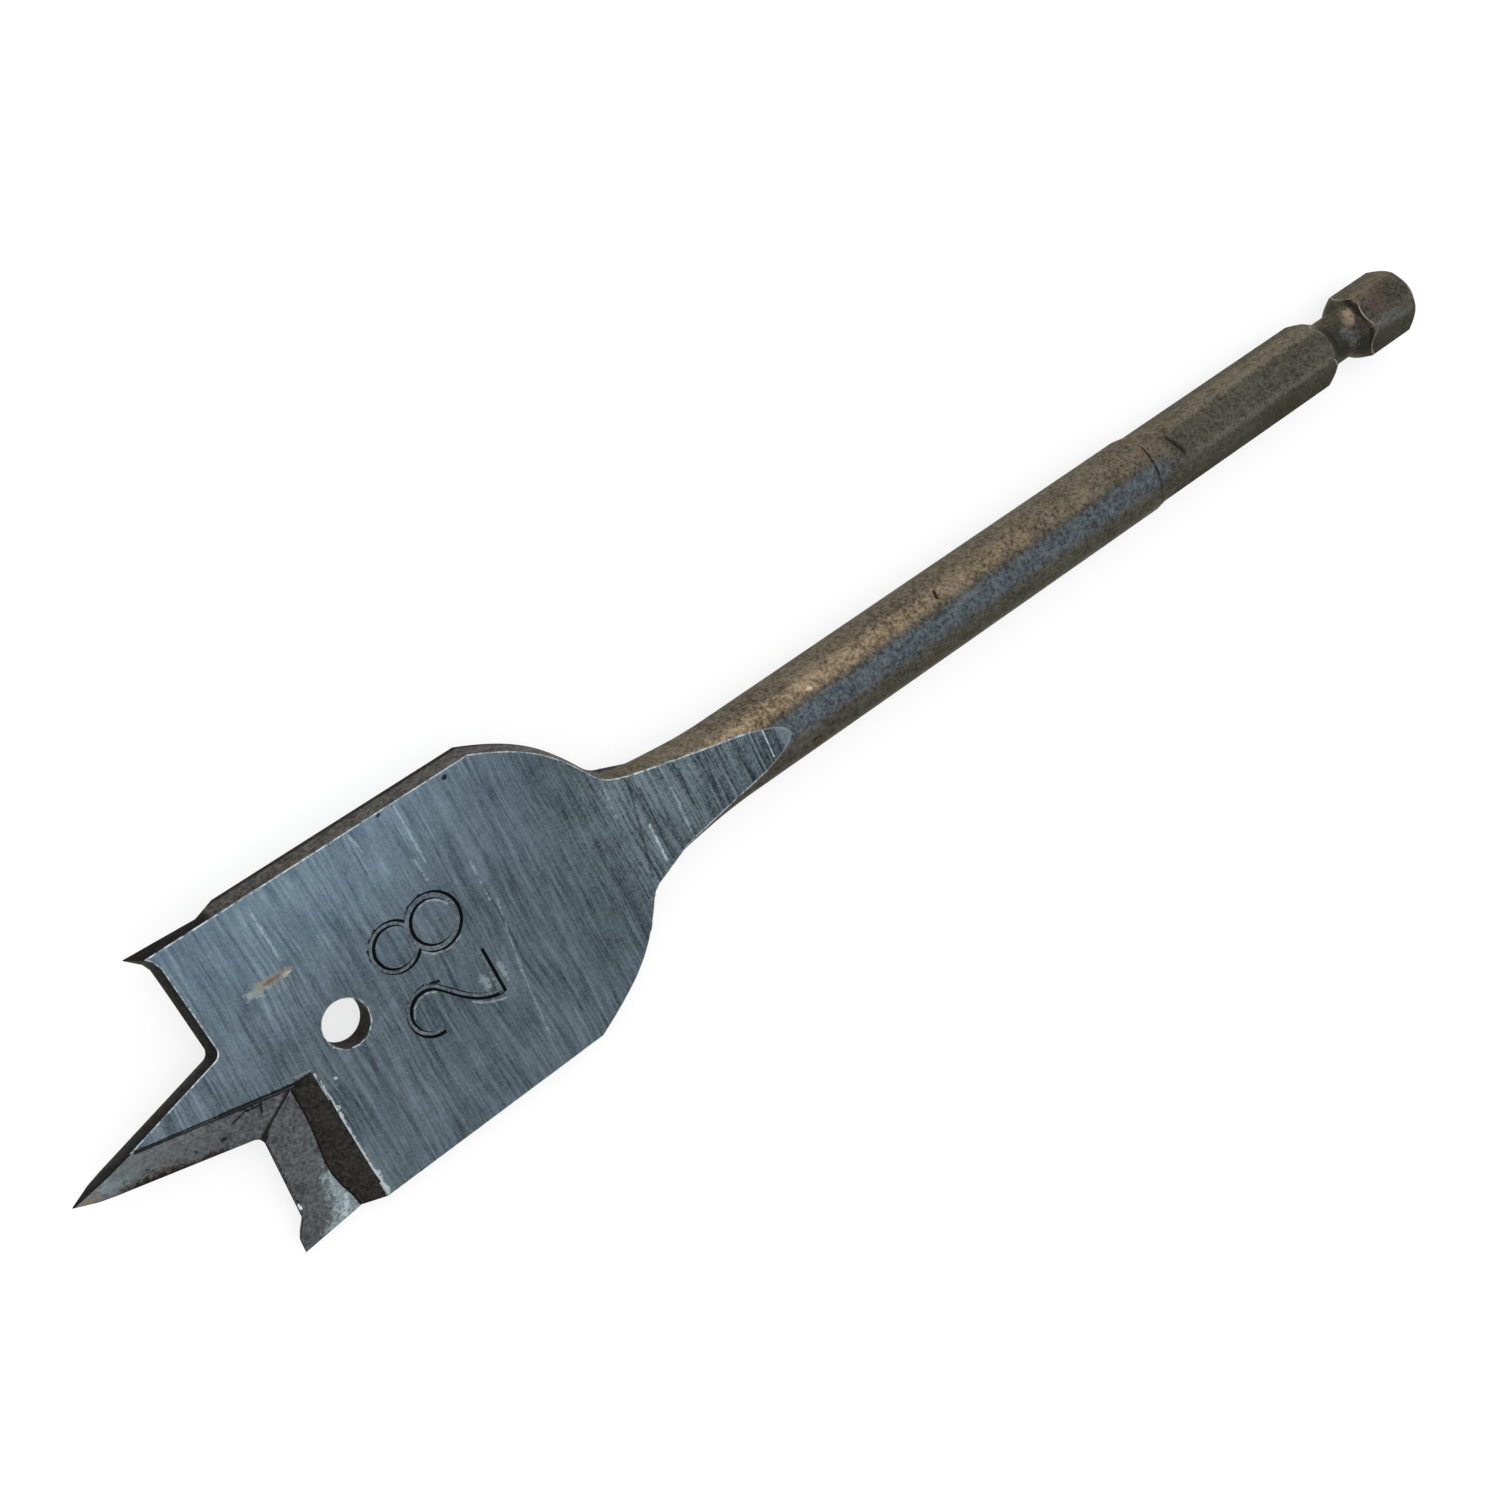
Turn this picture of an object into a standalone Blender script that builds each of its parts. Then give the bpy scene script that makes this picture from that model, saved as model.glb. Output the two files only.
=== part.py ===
"""Spade drill bit for wood, forged and ground from one bar of steel.

A flat blade with a long centre point, a spur at each outer corner and a rake pocket on the
leading face of each wing, a round shaft, and a hexagonal quick-change shank with a locking groove.

The bit is modelled along X, from the centre point's tip to the end of the shank, with the blade
flat. It then lies on a floor as such a bit comes to rest: on the side of its round shaft, rolled
until one corner of the blade touches the floor too.

The wings are called upper (+Y) and lower (-Y), as seen from above with the tip to the left. The
bit cuts clockwise seen from the shank, so the upper wing leads with its back face, and the lower
wing with its front face.
"""

import math

import bmesh
import bpy
from mathutils import Matrix, Vector
from mathutils.geometry import interpolate_bezier

MM = 0.001

# Along the bit, measured from the tip
OVERALL_LENGTH = 152.0 * MM
POINT_LENGTH = 14.6 * MM
NECK_START = 52.6 * MM
NECK_FLARE_END = 64.3 * MM
TANG_RAMP_START = 52.0 * MM
TANG_RAMP_END = 69.0 * MM

# Shank, measured from the bit's end
SHANK_LENGTH = 37.8 * MM
HEX_RAMP_LENGTH = 4.1 * MM
GROOVE_FROM_END = 9.85 * MM

# Blade
CUTTING_DIAMETER = 28.0 * MM
BLADE_THICKNESS = 2.64 * MM
SIDE_TAPER = math.radians(0.62)
SIDE_RELIEF = 0.51 * MM
LIP_RELIEF = 0.80 * MM
POINT_RELIEF = 0.20 * MM
SHOULDER_DRAFT = 0.45 * MM
SHOULDER_END_HALF_WIDTH = 4.9 * MM
SHOULDER_START_ANGLE = math.radians(24.3)
SHOULDER_END_ANGLE = math.radians(61)
SHOULDER_FULLNESS = 0.419
NOTCH_RADIUS = 0.8 * MM
HOLE_DIAMETER = 4.0 * MM
HOLE_CENTRE = 24.45 * MM
HOLE_OFFSET = 0.2 * MM

# Centre point
POINT_ROOT_HALF_WIDTH = 3.86 * MM
TIP_TAPER_LENGTH = 3.1 * MM
TIP_TAPER_HALF_WIDTH = 0.93 * MM
TIP_BEVEL_SLOPE = math.radians(17.5)
TIP_LAND = 0.06 * MM

# Rake pocket and point facet, ground into each leading face
POCKET_RAMP_LENGTH = 1.95 * MM
POCKET_FOOT_DEPTH = 1.25 * MM
POCKET_LIP_DEPTH = 0.74 * MM
POCKET_INNER_Y = 1.6 * MM
FACET_START_X = 5.8 * MM
FACET_START_Y = 1.35 * MM
FACET_TURN = math.radians(12.7)
FACET_SLOPE = math.radians(12.4)

# Each wing was finished by hand, so its lip, spur, pocket and shoulder differ a little from
# the other's. Places are at half the blade's thickness: how far the spur reaches ahead of the
# lip's inner end, and how far inside the cutting diameter each corner lies.
UPPER_SPUR_ROOT_AHEAD = 0.32 * MM
UPPER_SPUR_ROOT_INSET = 1.62 * MM
UPPER_SPUR_KNEE_AHEAD = 0.60 * MM
UPPER_SPUR_KNEE_INSET = 0.90 * MM
UPPER_SPUR_TIP_AHEAD = 1.45 * MM
UPPER_POCKET_LENGTH = 6.6 * MM
UPPER_SHOULDER_START = 43.7 * MM
UPPER_SHOULDER_END = 53.0 * MM
LOWER_SPUR_ROOT_AHEAD = 0.69 * MM
LOWER_SPUR_ROOT_INSET = 2.22 * MM
LOWER_SPUR_KNEE_AHEAD = 1.67 * MM
LOWER_SPUR_KNEE_INSET = 0.99 * MM
LOWER_SPUR_TIP_AHEAD = 1.77 * MM
LOWER_POCKET_LENGTH = 5.95 * MM
LOWER_SHOULDER_START = 42.3 * MM
LOWER_SHOULDER_END = 52.5 * MM

# Shaft, neck and hexagonal shank
SHAFT_DIAMETER = 7.6 * MM
NECK_FLARE_RADIUS = 41.0 * MM
TANG_BLEND_RADIUS = 30.0 * MM
HEX_ACROSS_FLATS = 6.35 * MM
HEX_TURN = math.radians(24.5)
HEX_CORNER_FLAT = 0.3 * MM
HEX_END_CHAMFER = 1.25 * MM
GROOVE_DIAMETER = 4.7 * MM
GROOVE_FLOOR_LENGTH = 2.6 * MM
GROOVE_FRONT_SLOPE = math.radians(30.0)
GROOVE_REAR_SLOPE = math.radians(34.0)

# Size number sunk into the blade's front face: the bit's diameter in millimetres
NUMBER_STROKE = 0.6 * MM
NUMBER_DEPTH = 0.22 * MM
NUMBER_BASE_X = 36.95 * MM
NUMBER_HEIGHT = 7.75 * MM
EIGHT_CENTRE_Y = 3.0 * MM
EIGHT_LARGE_RADIUS = 2.34 * MM
EIGHT_SMALL_RADIUS = 2.08 * MM
TWO_RIGHT_Y = -1.1 * MM
TWO_WIDTH = 4.35 * MM
TWO_HEAD_RADIUS = 1.85 * MM
TWO_HEAD_START = math.radians(275)
TWO_HEAD_END = math.radians(35)

# How finely round shapes are divided
SHAFT_SIDES = 20
HOLE_SIDES = 32
ARC_POINTS = 9

# Worked out from the sizes above
SHAFT_END = OVERALL_LENGTH - SHANK_LENGTH
GROOVE_CENTRE = OVERALL_LENGTH - GROOVE_FROM_END
HALF_THICKNESS = BLADE_THICKNESS / 2
SHAFT_RADIUS = SHAFT_DIAMETER / 2
LIP_FRONT = POINT_LENGTH - 0.3 * MM
NOTCH_CORNER = Vector((POINT_LENGTH - 0.2 * MM, -POINT_ROOT_HALF_WIDTH - 0.25 * MM))
SPARE = 2.0 * MM
BLANK_HALF_THICKNESS = HALF_THICKNESS + 0.8 * MM
UPPER, LOWER = 1, -1


def line_crossing(a, along_a, b, along_b):
    """The point where the line through a meets the line through b, in the plane."""
    cross = along_a.x * along_b.y - along_a.y * along_b.x
    reach = ((b - a).x * along_b.y - (b - a).y * along_b.x) / cross
    return a + along_a * reach


def offset_outline(corners, offsets):
    """A closed outline with each side moved outwards by its own distance."""
    moved = []
    for i, corner in enumerate(corners):
        after = corners[(i + 1) % len(corners)]
        along = (after - corner).normalized()
        outward = Vector((-along.y, along.x))
        moved.append((corner + outward * offsets[i], along))
    return [line_crossing(*moved[i - 1], *moved[i]) for i in range(len(moved))]


def fillet(before, corner, after, radius, count):
    """Points of an arc that rounds a corner."""
    back = (before - corner).normalized()
    ahead = (after - corner).normalized()
    half_angle = back.angle(ahead) / 2
    centre = corner + (back + ahead).normalized() * radius / math.sin(half_angle)
    start = corner + back * radius / math.tan(half_angle) - centre
    end = corner + ahead * radius / math.tan(half_angle) - centre
    sweep = start.angle_signed(end)
    return [centre + Matrix.Rotation(-sweep * i / (count - 1), 2) @ start for i in range(count)]


def side_half_width(x):
    """Half the blade's width at half its thickness."""
    at_spur = (CUTTING_DIAMETER - SIDE_RELIEF) / 2
    return at_spur - (x - POINT_LENGTH) * math.tan(SIDE_TAPER)


def shoulder_curve(start, end):
    """A smooth bend from the blade's side to its neck, steeper at the neck."""
    handle = (end - start).length * SHOULDER_FULLNESS
    leave = start + handle * Vector((math.cos(SHOULDER_START_ANGLE), -math.sin(SHOULDER_START_ANGLE)))
    arrive = end - handle * Vector((math.cos(SHOULDER_END_ANGLE), -math.sin(SHOULDER_END_ANGLE)))
    return interpolate_bezier(start.to_3d(), leave.to_3d(), arrive.to_3d(), end.to_3d(), ARC_POINTS)


def wing_corners(wing):
    """The wing's outline at half thickness, from the tip to inside the neck, with y counted
    outwards, and the relief of the side that starts at each corner."""
    if wing == UPPER:
        root = (UPPER_SPUR_ROOT_AHEAD, UPPER_SPUR_ROOT_INSET)
        knee = (UPPER_SPUR_KNEE_AHEAD, UPPER_SPUR_KNEE_INSET)
        tip_ahead = UPPER_SPUR_TIP_AHEAD
        shoulder = (UPPER_SHOULDER_START, UPPER_SHOULDER_END)
    else:
        root = (LOWER_SPUR_ROOT_AHEAD, LOWER_SPUR_ROOT_INSET)
        knee = (LOWER_SPUR_KNEE_AHEAD, LOWER_SPUR_KNEE_INSET)
        tip_ahead = LOWER_SPUR_TIP_AHEAD
        shoulder = (LOWER_SHOULDER_START, LOWER_SHOULDER_END)
    spur_x = POINT_LENGTH - tip_ahead
    outer = side_half_width(spur_x)
    corners = [
        (Vector((0, 0)), POINT_RELIEF),
        (Vector((TIP_TAPER_LENGTH, TIP_TAPER_HALF_WIDTH)), POINT_RELIEF),
        (Vector((POINT_LENGTH, POINT_ROOT_HALF_WIDTH)), LIP_RELIEF),
        (Vector((POINT_LENGTH - root[0], outer - root[1])), LIP_RELIEF),
        (Vector((POINT_LENGTH - knee[0], outer - knee[1])), LIP_RELIEF),
        (Vector((spur_x, outer)), SIDE_RELIEF),
    ]
    start = Vector((shoulder[0], side_half_width(shoulder[0])))
    end = Vector((shoulder[1], SHOULDER_END_HALF_WIDTH))
    for point in shoulder_curve(start, end):
        corners.append((point.to_2d(), SHOULDER_DRAFT))
    corners.append((Vector((NECK_START + 3 * MM, SHAFT_RADIUS / 2)), 0.0))
    return corners


def blade_outline(z):
    """The blade's closed outline at the height z: a wing's sides stand further out towards
    its leading face, by half their relief at the face itself."""
    lean = z / HALF_THICKNESS / 2
    corners = []
    offsets = []
    for corner, relief in wing_corners(UPPER):
        corners.append(corner)
        offsets.append(-relief * lean)
    lower = wing_corners(LOWER)
    for i in range(len(lower) - 1, 0, -1):
        corners.append(Vector((lower[i][0].x, -lower[i][0].y)))
        offsets.append(lower[i - 1][1] * lean)
    moved = offset_outline(corners, offsets)
    outline = []
    notches = (2, len(moved) - 2)
    for i, corner in enumerate(moved):
        if i in notches:
            after = moved[(i + 1) % len(moved)]
            outline += fillet(moved[i - 1], corner, after, NOTCH_RADIUS, 5)
        else:
            outline.append(corner)
    return outline


def mesh_object(name, bm):
    bmesh.ops.recalc_face_normals(bm, faces=bm.faces)
    mesh = bpy.data.meshes.new(name)
    bm.to_mesh(mesh)
    bm.free()
    made = bpy.data.objects.new(name, mesh)
    bpy.context.scene.collection.objects.link(made)
    return made


def loft(name, rings):
    """A closed body through rings of points, each ring with the same count."""
    bm = bmesh.new()
    loops = [[bm.verts.new(point) for point in ring] for ring in rings]
    count = len(loops[0])
    for low, high in zip(loops, loops[1:]):
        for i in range(count):
            bm.faces.new((low[i - 1], low[i], high[i], high[i - 1]))
    bm.faces.new(loops[0])
    bm.faces.new(loops[-1])
    return mesh_object(name, bm)


def cut(body, cutter, operation="DIFFERENCE"):
    """Adds a Boolean to the body. The piece that it works with is hidden, and moves with it."""
    cutter.parent = body
    cutter.hide_render = True
    cutter.display_type = "WIRE"
    boolean = body.modifiers.new(cutter.name, "BOOLEAN")
    boolean.operation = operation
    boolean.object = cutter
    boolean.solver = "EXACT"


def turned_to_back(cutter):
    """A cutter for the back face: the cutter turned half round the bit's axis."""
    cutter.data.transform(Matrix.Rotation(math.pi, 4, "X"))
    cutter.name += "_back"
    return cutter


def roll_angle():
    """How far the bit rolls onto the lower wing before the blade's corner meets the floor."""
    corner = min(blade_outline(-HALF_THICKNESS), key=lambda point: point.y)
    reach = math.hypot(corner.y, HALF_THICKNESS)
    return math.asin(shaft_flat_reach() / reach) - math.atan(HALF_THICKNESS / -corner.y)


def shaft_flat_reach():
    """From the axis to the middle of one of the shaft's sides."""
    return SHAFT_RADIUS * math.cos(math.pi / SHAFT_SIDES)


def ring(x, half_width, half_height, sides, phase):
    points = []
    for i in range(sides):
        angle = phase + 2 * math.pi * i / sides
        points.append((x, half_width * math.cos(angle), half_height * math.sin(angle)))
    return points


def blade_blank():
    rings = []
    for z in (-BLANK_HALF_THICKNESS, BLANK_HALF_THICKNESS):
        rings.append([(point.x, point.y, z) for point in blade_outline(z)])
    return loft("spade_bit", rings)


def neck_half_width(x):
    reach = max(NECK_FLARE_END - x, 0)
    return SHAFT_RADIUS + NECK_FLARE_RADIUS - math.sqrt(NECK_FLARE_RADIUS**2 - reach**2)


def shaft():
    """Round shaft: it widens sideways into the blade, and ends in a ramp down to the hexagon."""
    phase = -math.pi / 2 - roll_angle() + math.pi / SHAFT_SIDES
    start = NECK_START - 3 * MM
    rings = []
    for i in range(ARC_POINTS):
        x = start + (NECK_FLARE_END - start) * i / (ARC_POINTS - 1)
        rings.append(ring(x, neck_half_width(x), SHAFT_RADIUS, SHAFT_SIDES, phase))
    rings.append(ring(SHAFT_END, SHAFT_RADIUS, SHAFT_RADIUS, SHAFT_SIDES, phase))
    inner = HEX_ACROSS_FLATS / 2 - 0.07 * MM
    rings.append(ring(SHAFT_END + HEX_RAMP_LENGTH, inner, inner, SHAFT_SIDES, phase))
    return loft("shaft", rings)


def hex_section():
    """The shank's cross-section: a hexagon whose corners are taken off by a small flat."""
    half = HEX_ACROSS_FLATS / 2
    side = HEX_ACROSS_FLATS * math.tan(math.pi / 6) - HEX_CORNER_FLAT / math.cos(math.pi / 6)
    section = []
    for i in range(6):
        angle = math.pi / 2 - HEX_TURN + i * math.pi / 3
        outward = Vector((math.cos(angle), math.sin(angle)))
        along = Vector((-outward.y, outward.x))
        section.append(outward * half - along * side / 2)
        section.append(outward * half + along * side / 2)
    return section


def shank():
    """Hexagonal bar, turned down at the locking groove and chamfered at its end."""
    section = hex_section()
    rings = []
    for x in (SHAFT_END - 0.7 * MM, OVERALL_LENGTH):
        rings.append([(x, point.x, point.y) for point in section])
    bar = loft("shank", rings)
    corner_radius = section[0].length
    outside = corner_radius + 0.4 * MM
    groove = GROOVE_DIAMETER / 2
    groove_front = GROOVE_CENTRE - GROOVE_FLOOR_LENGTH / 2
    groove_rear = GROOVE_CENTRE + GROOVE_FLOOR_LENGTH / 2
    climb = outside - groove
    end_radius = corner_radius - HEX_END_CHAMFER
    profile = [
        (SHAFT_END - SPARE, outside),
        (groove_front - climb / math.tan(GROOVE_FRONT_SLOPE), outside),
        (groove_front, groove),
        (groove_rear, groove),
        (groove_rear + climb / math.tan(GROOVE_REAR_SLOPE), outside),
        (OVERALL_LENGTH - (outside - end_radius), outside),
        (OVERALL_LENGTH + SPARE, end_radius - SPARE),
    ]
    phase = -math.pi / 2 - roll_angle() + math.pi / SHAFT_SIDES
    envelope = loft("shank_envelope", [ring(x, r, r, SHAFT_SIDES, phase) for x, r in profile])
    cut(bar, envelope, "INTERSECT")
    return bar


def face_grinding():
    """What grinding takes off one side: down to the blade's face, then up a ramp to where
    the shaft is left round."""
    rise = SHAFT_RADIUS - HALF_THICKNESS
    slope = math.atan(rise / (TANG_RAMP_END - TANG_RAMP_START))
    blend = TANG_BLEND_RADIUS * math.tan(slope / 2)
    top = SHAFT_RADIUS + 2 * SPARE
    profile = [(-SPARE, HALF_THICKNESS)]
    for i in range(ARC_POINTS):
        angle = slope * i / (ARC_POINTS - 1)
        x = TANG_RAMP_START - blend + TANG_BLEND_RADIUS * math.sin(angle)
        z = HALF_THICKNESS + TANG_BLEND_RADIUS * (1 - math.cos(angle))
        profile.append((x, z))
    profile.append((TANG_RAMP_START + (top - HALF_THICKNESS) / math.tan(slope), top))
    profile.append((-SPARE, top))
    reach = CUTTING_DIAMETER / 2 + SPARE
    rings = [[(x, y, z) for x, z in profile] for y in (-reach, reach)]
    return loft("face_grinding", rings)


def point_facet():
    """The slanting facet along the lower side of the centre point. It runs out over the whole
    point near the tip, and stops at a crease in front of the pocket."""
    start = Vector((FACET_START_X, FACET_START_Y))
    along = Vector((math.cos(FACET_TURN), -math.sin(FACET_TURN)))
    down = Vector((along.y, -along.x))

    def height(point):
        return HALF_THICKNESS - (point - start).dot(down) * math.tan(FACET_SLOPE)

    crease_start = Vector((pocket_foot_x(LOWER_POCKET_LENGTH, 0), -POCKET_INNER_Y))
    crease = (NOTCH_CORNER - crease_start).normalized()
    plan = [
        crease_start - crease * SPARE / 4,
        NOTCH_CORNER,
        NOTCH_CORNER + crease * SPARE,
        Vector((-SPARE, -3 * POINT_ROOT_HALF_WIDTH)),
        Vector((-SPARE, FACET_START_Y + SPARE)),
        start - down * SPARE,
        crease_start - down * SPARE,
    ]
    top = HALF_THICKNESS + SPARE
    floor = [(point.x, point.y, height(point)) for point in plan]
    return loft("point_facet", [floor, [(point.x, point.y, top) for point in plan]])


def pocket_foot_x(length, share):
    """Where the pocket's ramp meets its floor, from its inner end (0) to the blade's side (1).
    The foot bends a little towards the tip in the middle."""
    foot = LIP_FRONT + length - POCKET_RAMP_LENGTH
    return foot - 0.15 * MM * math.sin(math.pi * min(share, 1))


def rake_pocket(length):
    """The pocket behind the lower wing's lip: a floor that falls away from the lip, and a
    ramp back up to the blade's face. Its inner end is a step, which runs from the foot of the
    ramp to the notch beside the centre point."""
    inner = -POCKET_INNER_Y
    outer = -CUTTING_DIAMETER / 2
    end_x = LIP_FRONT + length
    foot_z = HALF_THICKNESS - POCKET_FOOT_DEPTH
    floor_slope = (POCKET_FOOT_DEPTH - POCKET_LIP_DEPTH) / (length - POCKET_RAMP_LENGTH)
    ramp_slope = POCKET_FOOT_DEPTH / POCKET_RAMP_LENGTH
    notch_share = (inner - NOTCH_CORNER.y) / (inner - outer)
    over_x = end_x + SPARE / ramp_slope
    over_z = HALF_THICKNESS + SPARE
    rings = []
    for share in (0, notch_share, notch_share + 0.01, 0.5, 0.75, 1, 1.25):
        y = inner + (outer - inner) * share
        foot_x = pocket_foot_x(length, share)
        front_x = foot_x + (NOTCH_CORNER.x - foot_x) * share / notch_share - 0.01 * MM
        if share > notch_share:
            front_x = LIP_FRONT - SPARE
        front_z = foot_z + (foot_x - front_x) * floor_slope
        rings.append([
            (front_x, y, over_z),
            (front_x, y, front_z),
            (foot_x, y, foot_z),
            (end_x, y, HALF_THICKNESS),
            (over_x, y, over_z),
        ])
    return loft("rake_pocket", rings)


def tip_bevel():
    """The short bevel that brings the end of the centre point down to a sharp tip."""
    top = HALF_THICKNESS + SPARE
    end_x = (top - TIP_LAND) / math.tan(TIP_BEVEL_SLOPE)
    start_z = TIP_LAND - SPARE * math.tan(TIP_BEVEL_SLOPE)
    profile = [(-SPARE, start_z), (end_x, top), (-SPARE, top)]
    reach = 2 * POINT_ROOT_HALF_WIDTH
    return loft("tip_bevel", [[(x, y, z) for x, z in profile] for y in (-reach, reach)])


def hanging_hole():
    radius = HOLE_DIAMETER / 2
    rings = []
    for z in (-BLADE_THICKNESS, BLADE_THICKNESS):
        points = []
        for i in range(HOLE_SIDES):
            angle = 2 * math.pi * i / HOLE_SIDES
            x = HOLE_CENTRE + radius * math.cos(angle)
            points.append((x, HOLE_OFFSET + radius * math.sin(angle), z))
        rings.append(points)
    return loft("hanging_hole", rings)


def stroke(name, path, closed):
    """A round bar along a path in the plane of the blade's face. Cut from the face, it leaves
    a stamped stroke."""
    radius = NUMBER_STROKE / 2
    height = HALF_THICKNESS + radius - NUMBER_DEPTH
    sides = 10
    bm = bmesh.new()
    rings = []
    for i, point in enumerate(path):
        before = path[i - 1] if closed or i > 0 else point
        after = path[(i + 1) % len(path)] if closed or i < len(path) - 1 else point
        along = (after - before).normalized()
        across = Vector((along.y, -along.x))
        loop = []
        for k in range(sides):
            angle = 2 * math.pi * (k + 0.5) / sides
            place = point + across * radius * math.cos(angle)
            loop.append(bm.verts.new((place.x, place.y, height + radius * math.sin(angle))))
        rings.append(loop)
    pairs = list(zip(rings, rings[1:]))
    if closed:
        pairs.append((rings[-1], rings[0]))
    else:
        bm.faces.new(rings[0])
        bm.faces.new(rings[-1])
    for first, second in pairs:
        for k in range(sides):
            bm.faces.new((first[k - 1], first[k], second[k], second[k - 1]))
    return mesh_object(name, bm)


def arc(centre, radius, start, end, count):
    """Points along an arc, from the angle start up to, but not at, the angle end."""
    points = []
    for i in range(count):
        angle = start + (end - start) * i / count
        points.append(centre + radius * Vector((math.cos(angle), math.sin(angle))))
    return points


def size_number():
    """The strokes of 28. The digits stand with their tops towards the tip."""
    large_x = NUMBER_BASE_X - EIGHT_LARGE_RADIUS
    small_x = NUMBER_BASE_X - NUMBER_HEIGHT + EIGHT_SMALL_RADIUS
    large = arc(Vector((large_x, EIGHT_CENTRE_Y)), EIGHT_LARGE_RADIUS, 0, 2 * math.pi, 28)
    apart = large_x - small_x
    meeting = math.acos(
        (apart**2 + EIGHT_SMALL_RADIUS**2 - EIGHT_LARGE_RADIUS**2) / (2 * apart * EIGHT_SMALL_RADIUS)
    )
    small = arc(
        Vector((small_x, EIGHT_CENTRE_Y)), EIGHT_SMALL_RADIUS, meeting, 2 * math.pi - meeting, 22
    )
    small.append(Vector((small[0].x, 2 * EIGHT_CENTRE_Y - small[0].y)))
    head_x = NUMBER_BASE_X - NUMBER_HEIGHT + TWO_HEAD_RADIUS
    head = Vector((head_x, TWO_RIGHT_Y - TWO_WIDTH / 2))
    left_y = TWO_RIGHT_Y - TWO_WIDTH
    two = arc(head, TWO_HEAD_RADIUS, TWO_HEAD_START, TWO_HEAD_END, 12)
    neck = head + TWO_HEAD_RADIUS * Vector((math.cos(TWO_HEAD_END), math.sin(TWO_HEAD_END)))
    leave = neck + 0.85 * TWO_HEAD_RADIUS * Vector((math.sin(TWO_HEAD_END), -math.cos(TWO_HEAD_END)))
    foot = Vector((NUMBER_BASE_X, left_y))
    arrive = foot - TWO_HEAD_RADIUS * Vector((0.96, -0.28))
    curve = [neck.to_3d(), leave.to_3d(), arrive.to_3d(), foot.to_3d()]
    two += [point.to_2d() for point in interpolate_bezier(*curve, ARC_POINTS)]
    two.append(Vector((NUMBER_BASE_X, TWO_RIGHT_Y)))
    return [
        stroke("eight_large", large, True),
        stroke("eight_small", small, False),
        stroke("two", two, False),
    ]


def steel():
    material = bpy.data.materials.new("ground_steel")
    material.use_nodes = True
    shader = material.node_tree.nodes["Principled BSDF"]
    shader.inputs["Base Color"].default_value = (0.19, 0.21, 0.22, 1)
    shader.inputs["Roughness"].default_value = 0.42
    shader.inputs["Metallic"].default_value = 0.9
    return material


def lie_on_floor(bit):
    """Rolls the bit onto its rest, over the middle of its own box."""
    bit.rotation_euler.x = roll_angle()
    bpy.context.view_layer.update()
    seen = bit.evaluated_get(bpy.context.evaluated_depsgraph_get())
    corners = [seen.matrix_world @ vertex.co for vertex in seen.data.vertices]
    low = [min(corner[i] for corner in corners) for i in range(3)]
    high = [max(corner[i] for corner in corners) for i in range(3)]
    bit.location = (-(low[0] + high[0]) / 2, -(low[1] + high[1]) / 2, -low[2])


def main():
    for old in list(bpy.data.objects):
        bpy.data.objects.remove(old)
    bit = blade_blank()
    cut(bit, shaft(), "UNION")
    for ground in (face_grinding, tip_bevel, point_facet):
        cut(bit, ground())
        cut(bit, turned_to_back(ground()))
    cut(bit, rake_pocket(LOWER_POCKET_LENGTH))
    cut(bit, turned_to_back(rake_pocket(UPPER_POCKET_LENGTH)))
    cut(bit, shank(), "UNION")
    cut(bit, hanging_hole())
    for bar in size_number():
        cut(bit, bar)
    bit.data.materials.append(steel())
    lie_on_floor(bit)


main()
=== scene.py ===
"""Spade drill bit: the look of the ground and blackened steel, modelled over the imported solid.

The bit is shaped lying flat along X, from the centre point's tip, and is laid on the floor at the
end, rolled onto its shaft and one wing as the solid lies. The finishes know their place on the bit
in millimetres.
"""

import math
from collections import namedtuple

import bmesh
import bpy
from mathutils import Matrix, Vector
from mathutils.geometry import interpolate_bezier

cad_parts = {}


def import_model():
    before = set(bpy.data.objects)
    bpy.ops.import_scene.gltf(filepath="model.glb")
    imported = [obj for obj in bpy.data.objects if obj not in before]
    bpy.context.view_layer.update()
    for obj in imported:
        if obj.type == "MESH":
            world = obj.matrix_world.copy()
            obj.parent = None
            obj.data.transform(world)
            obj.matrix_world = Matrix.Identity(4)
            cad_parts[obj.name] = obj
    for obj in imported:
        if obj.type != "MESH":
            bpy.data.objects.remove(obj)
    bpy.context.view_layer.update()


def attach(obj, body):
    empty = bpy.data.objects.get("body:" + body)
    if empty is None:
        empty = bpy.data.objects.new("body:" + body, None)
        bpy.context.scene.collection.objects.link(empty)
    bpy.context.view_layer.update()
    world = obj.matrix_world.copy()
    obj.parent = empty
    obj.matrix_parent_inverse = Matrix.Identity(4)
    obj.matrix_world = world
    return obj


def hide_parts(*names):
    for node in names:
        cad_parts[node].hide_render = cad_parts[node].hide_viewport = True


MM = 0.001

# Where the bit lies
REST_ROLL = math.radians(10.475033)
REST_PLACE = Vector((-76.0, 0.0035, 3.7532)) * MM

# Camera: a near view from above, a little towards the tip
CAMERA_PLACE = Vector((-82.598, 29.258, 181.215)) * MM
CAMERA_TURN = [math.radians(4.64820), math.radians(-23.54212), math.radians(-33.77197)]
CAMERA_LENS = 54.017
CAMERA_SENSOR = 36
CAMERA_NEAREST = 0.01

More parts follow.
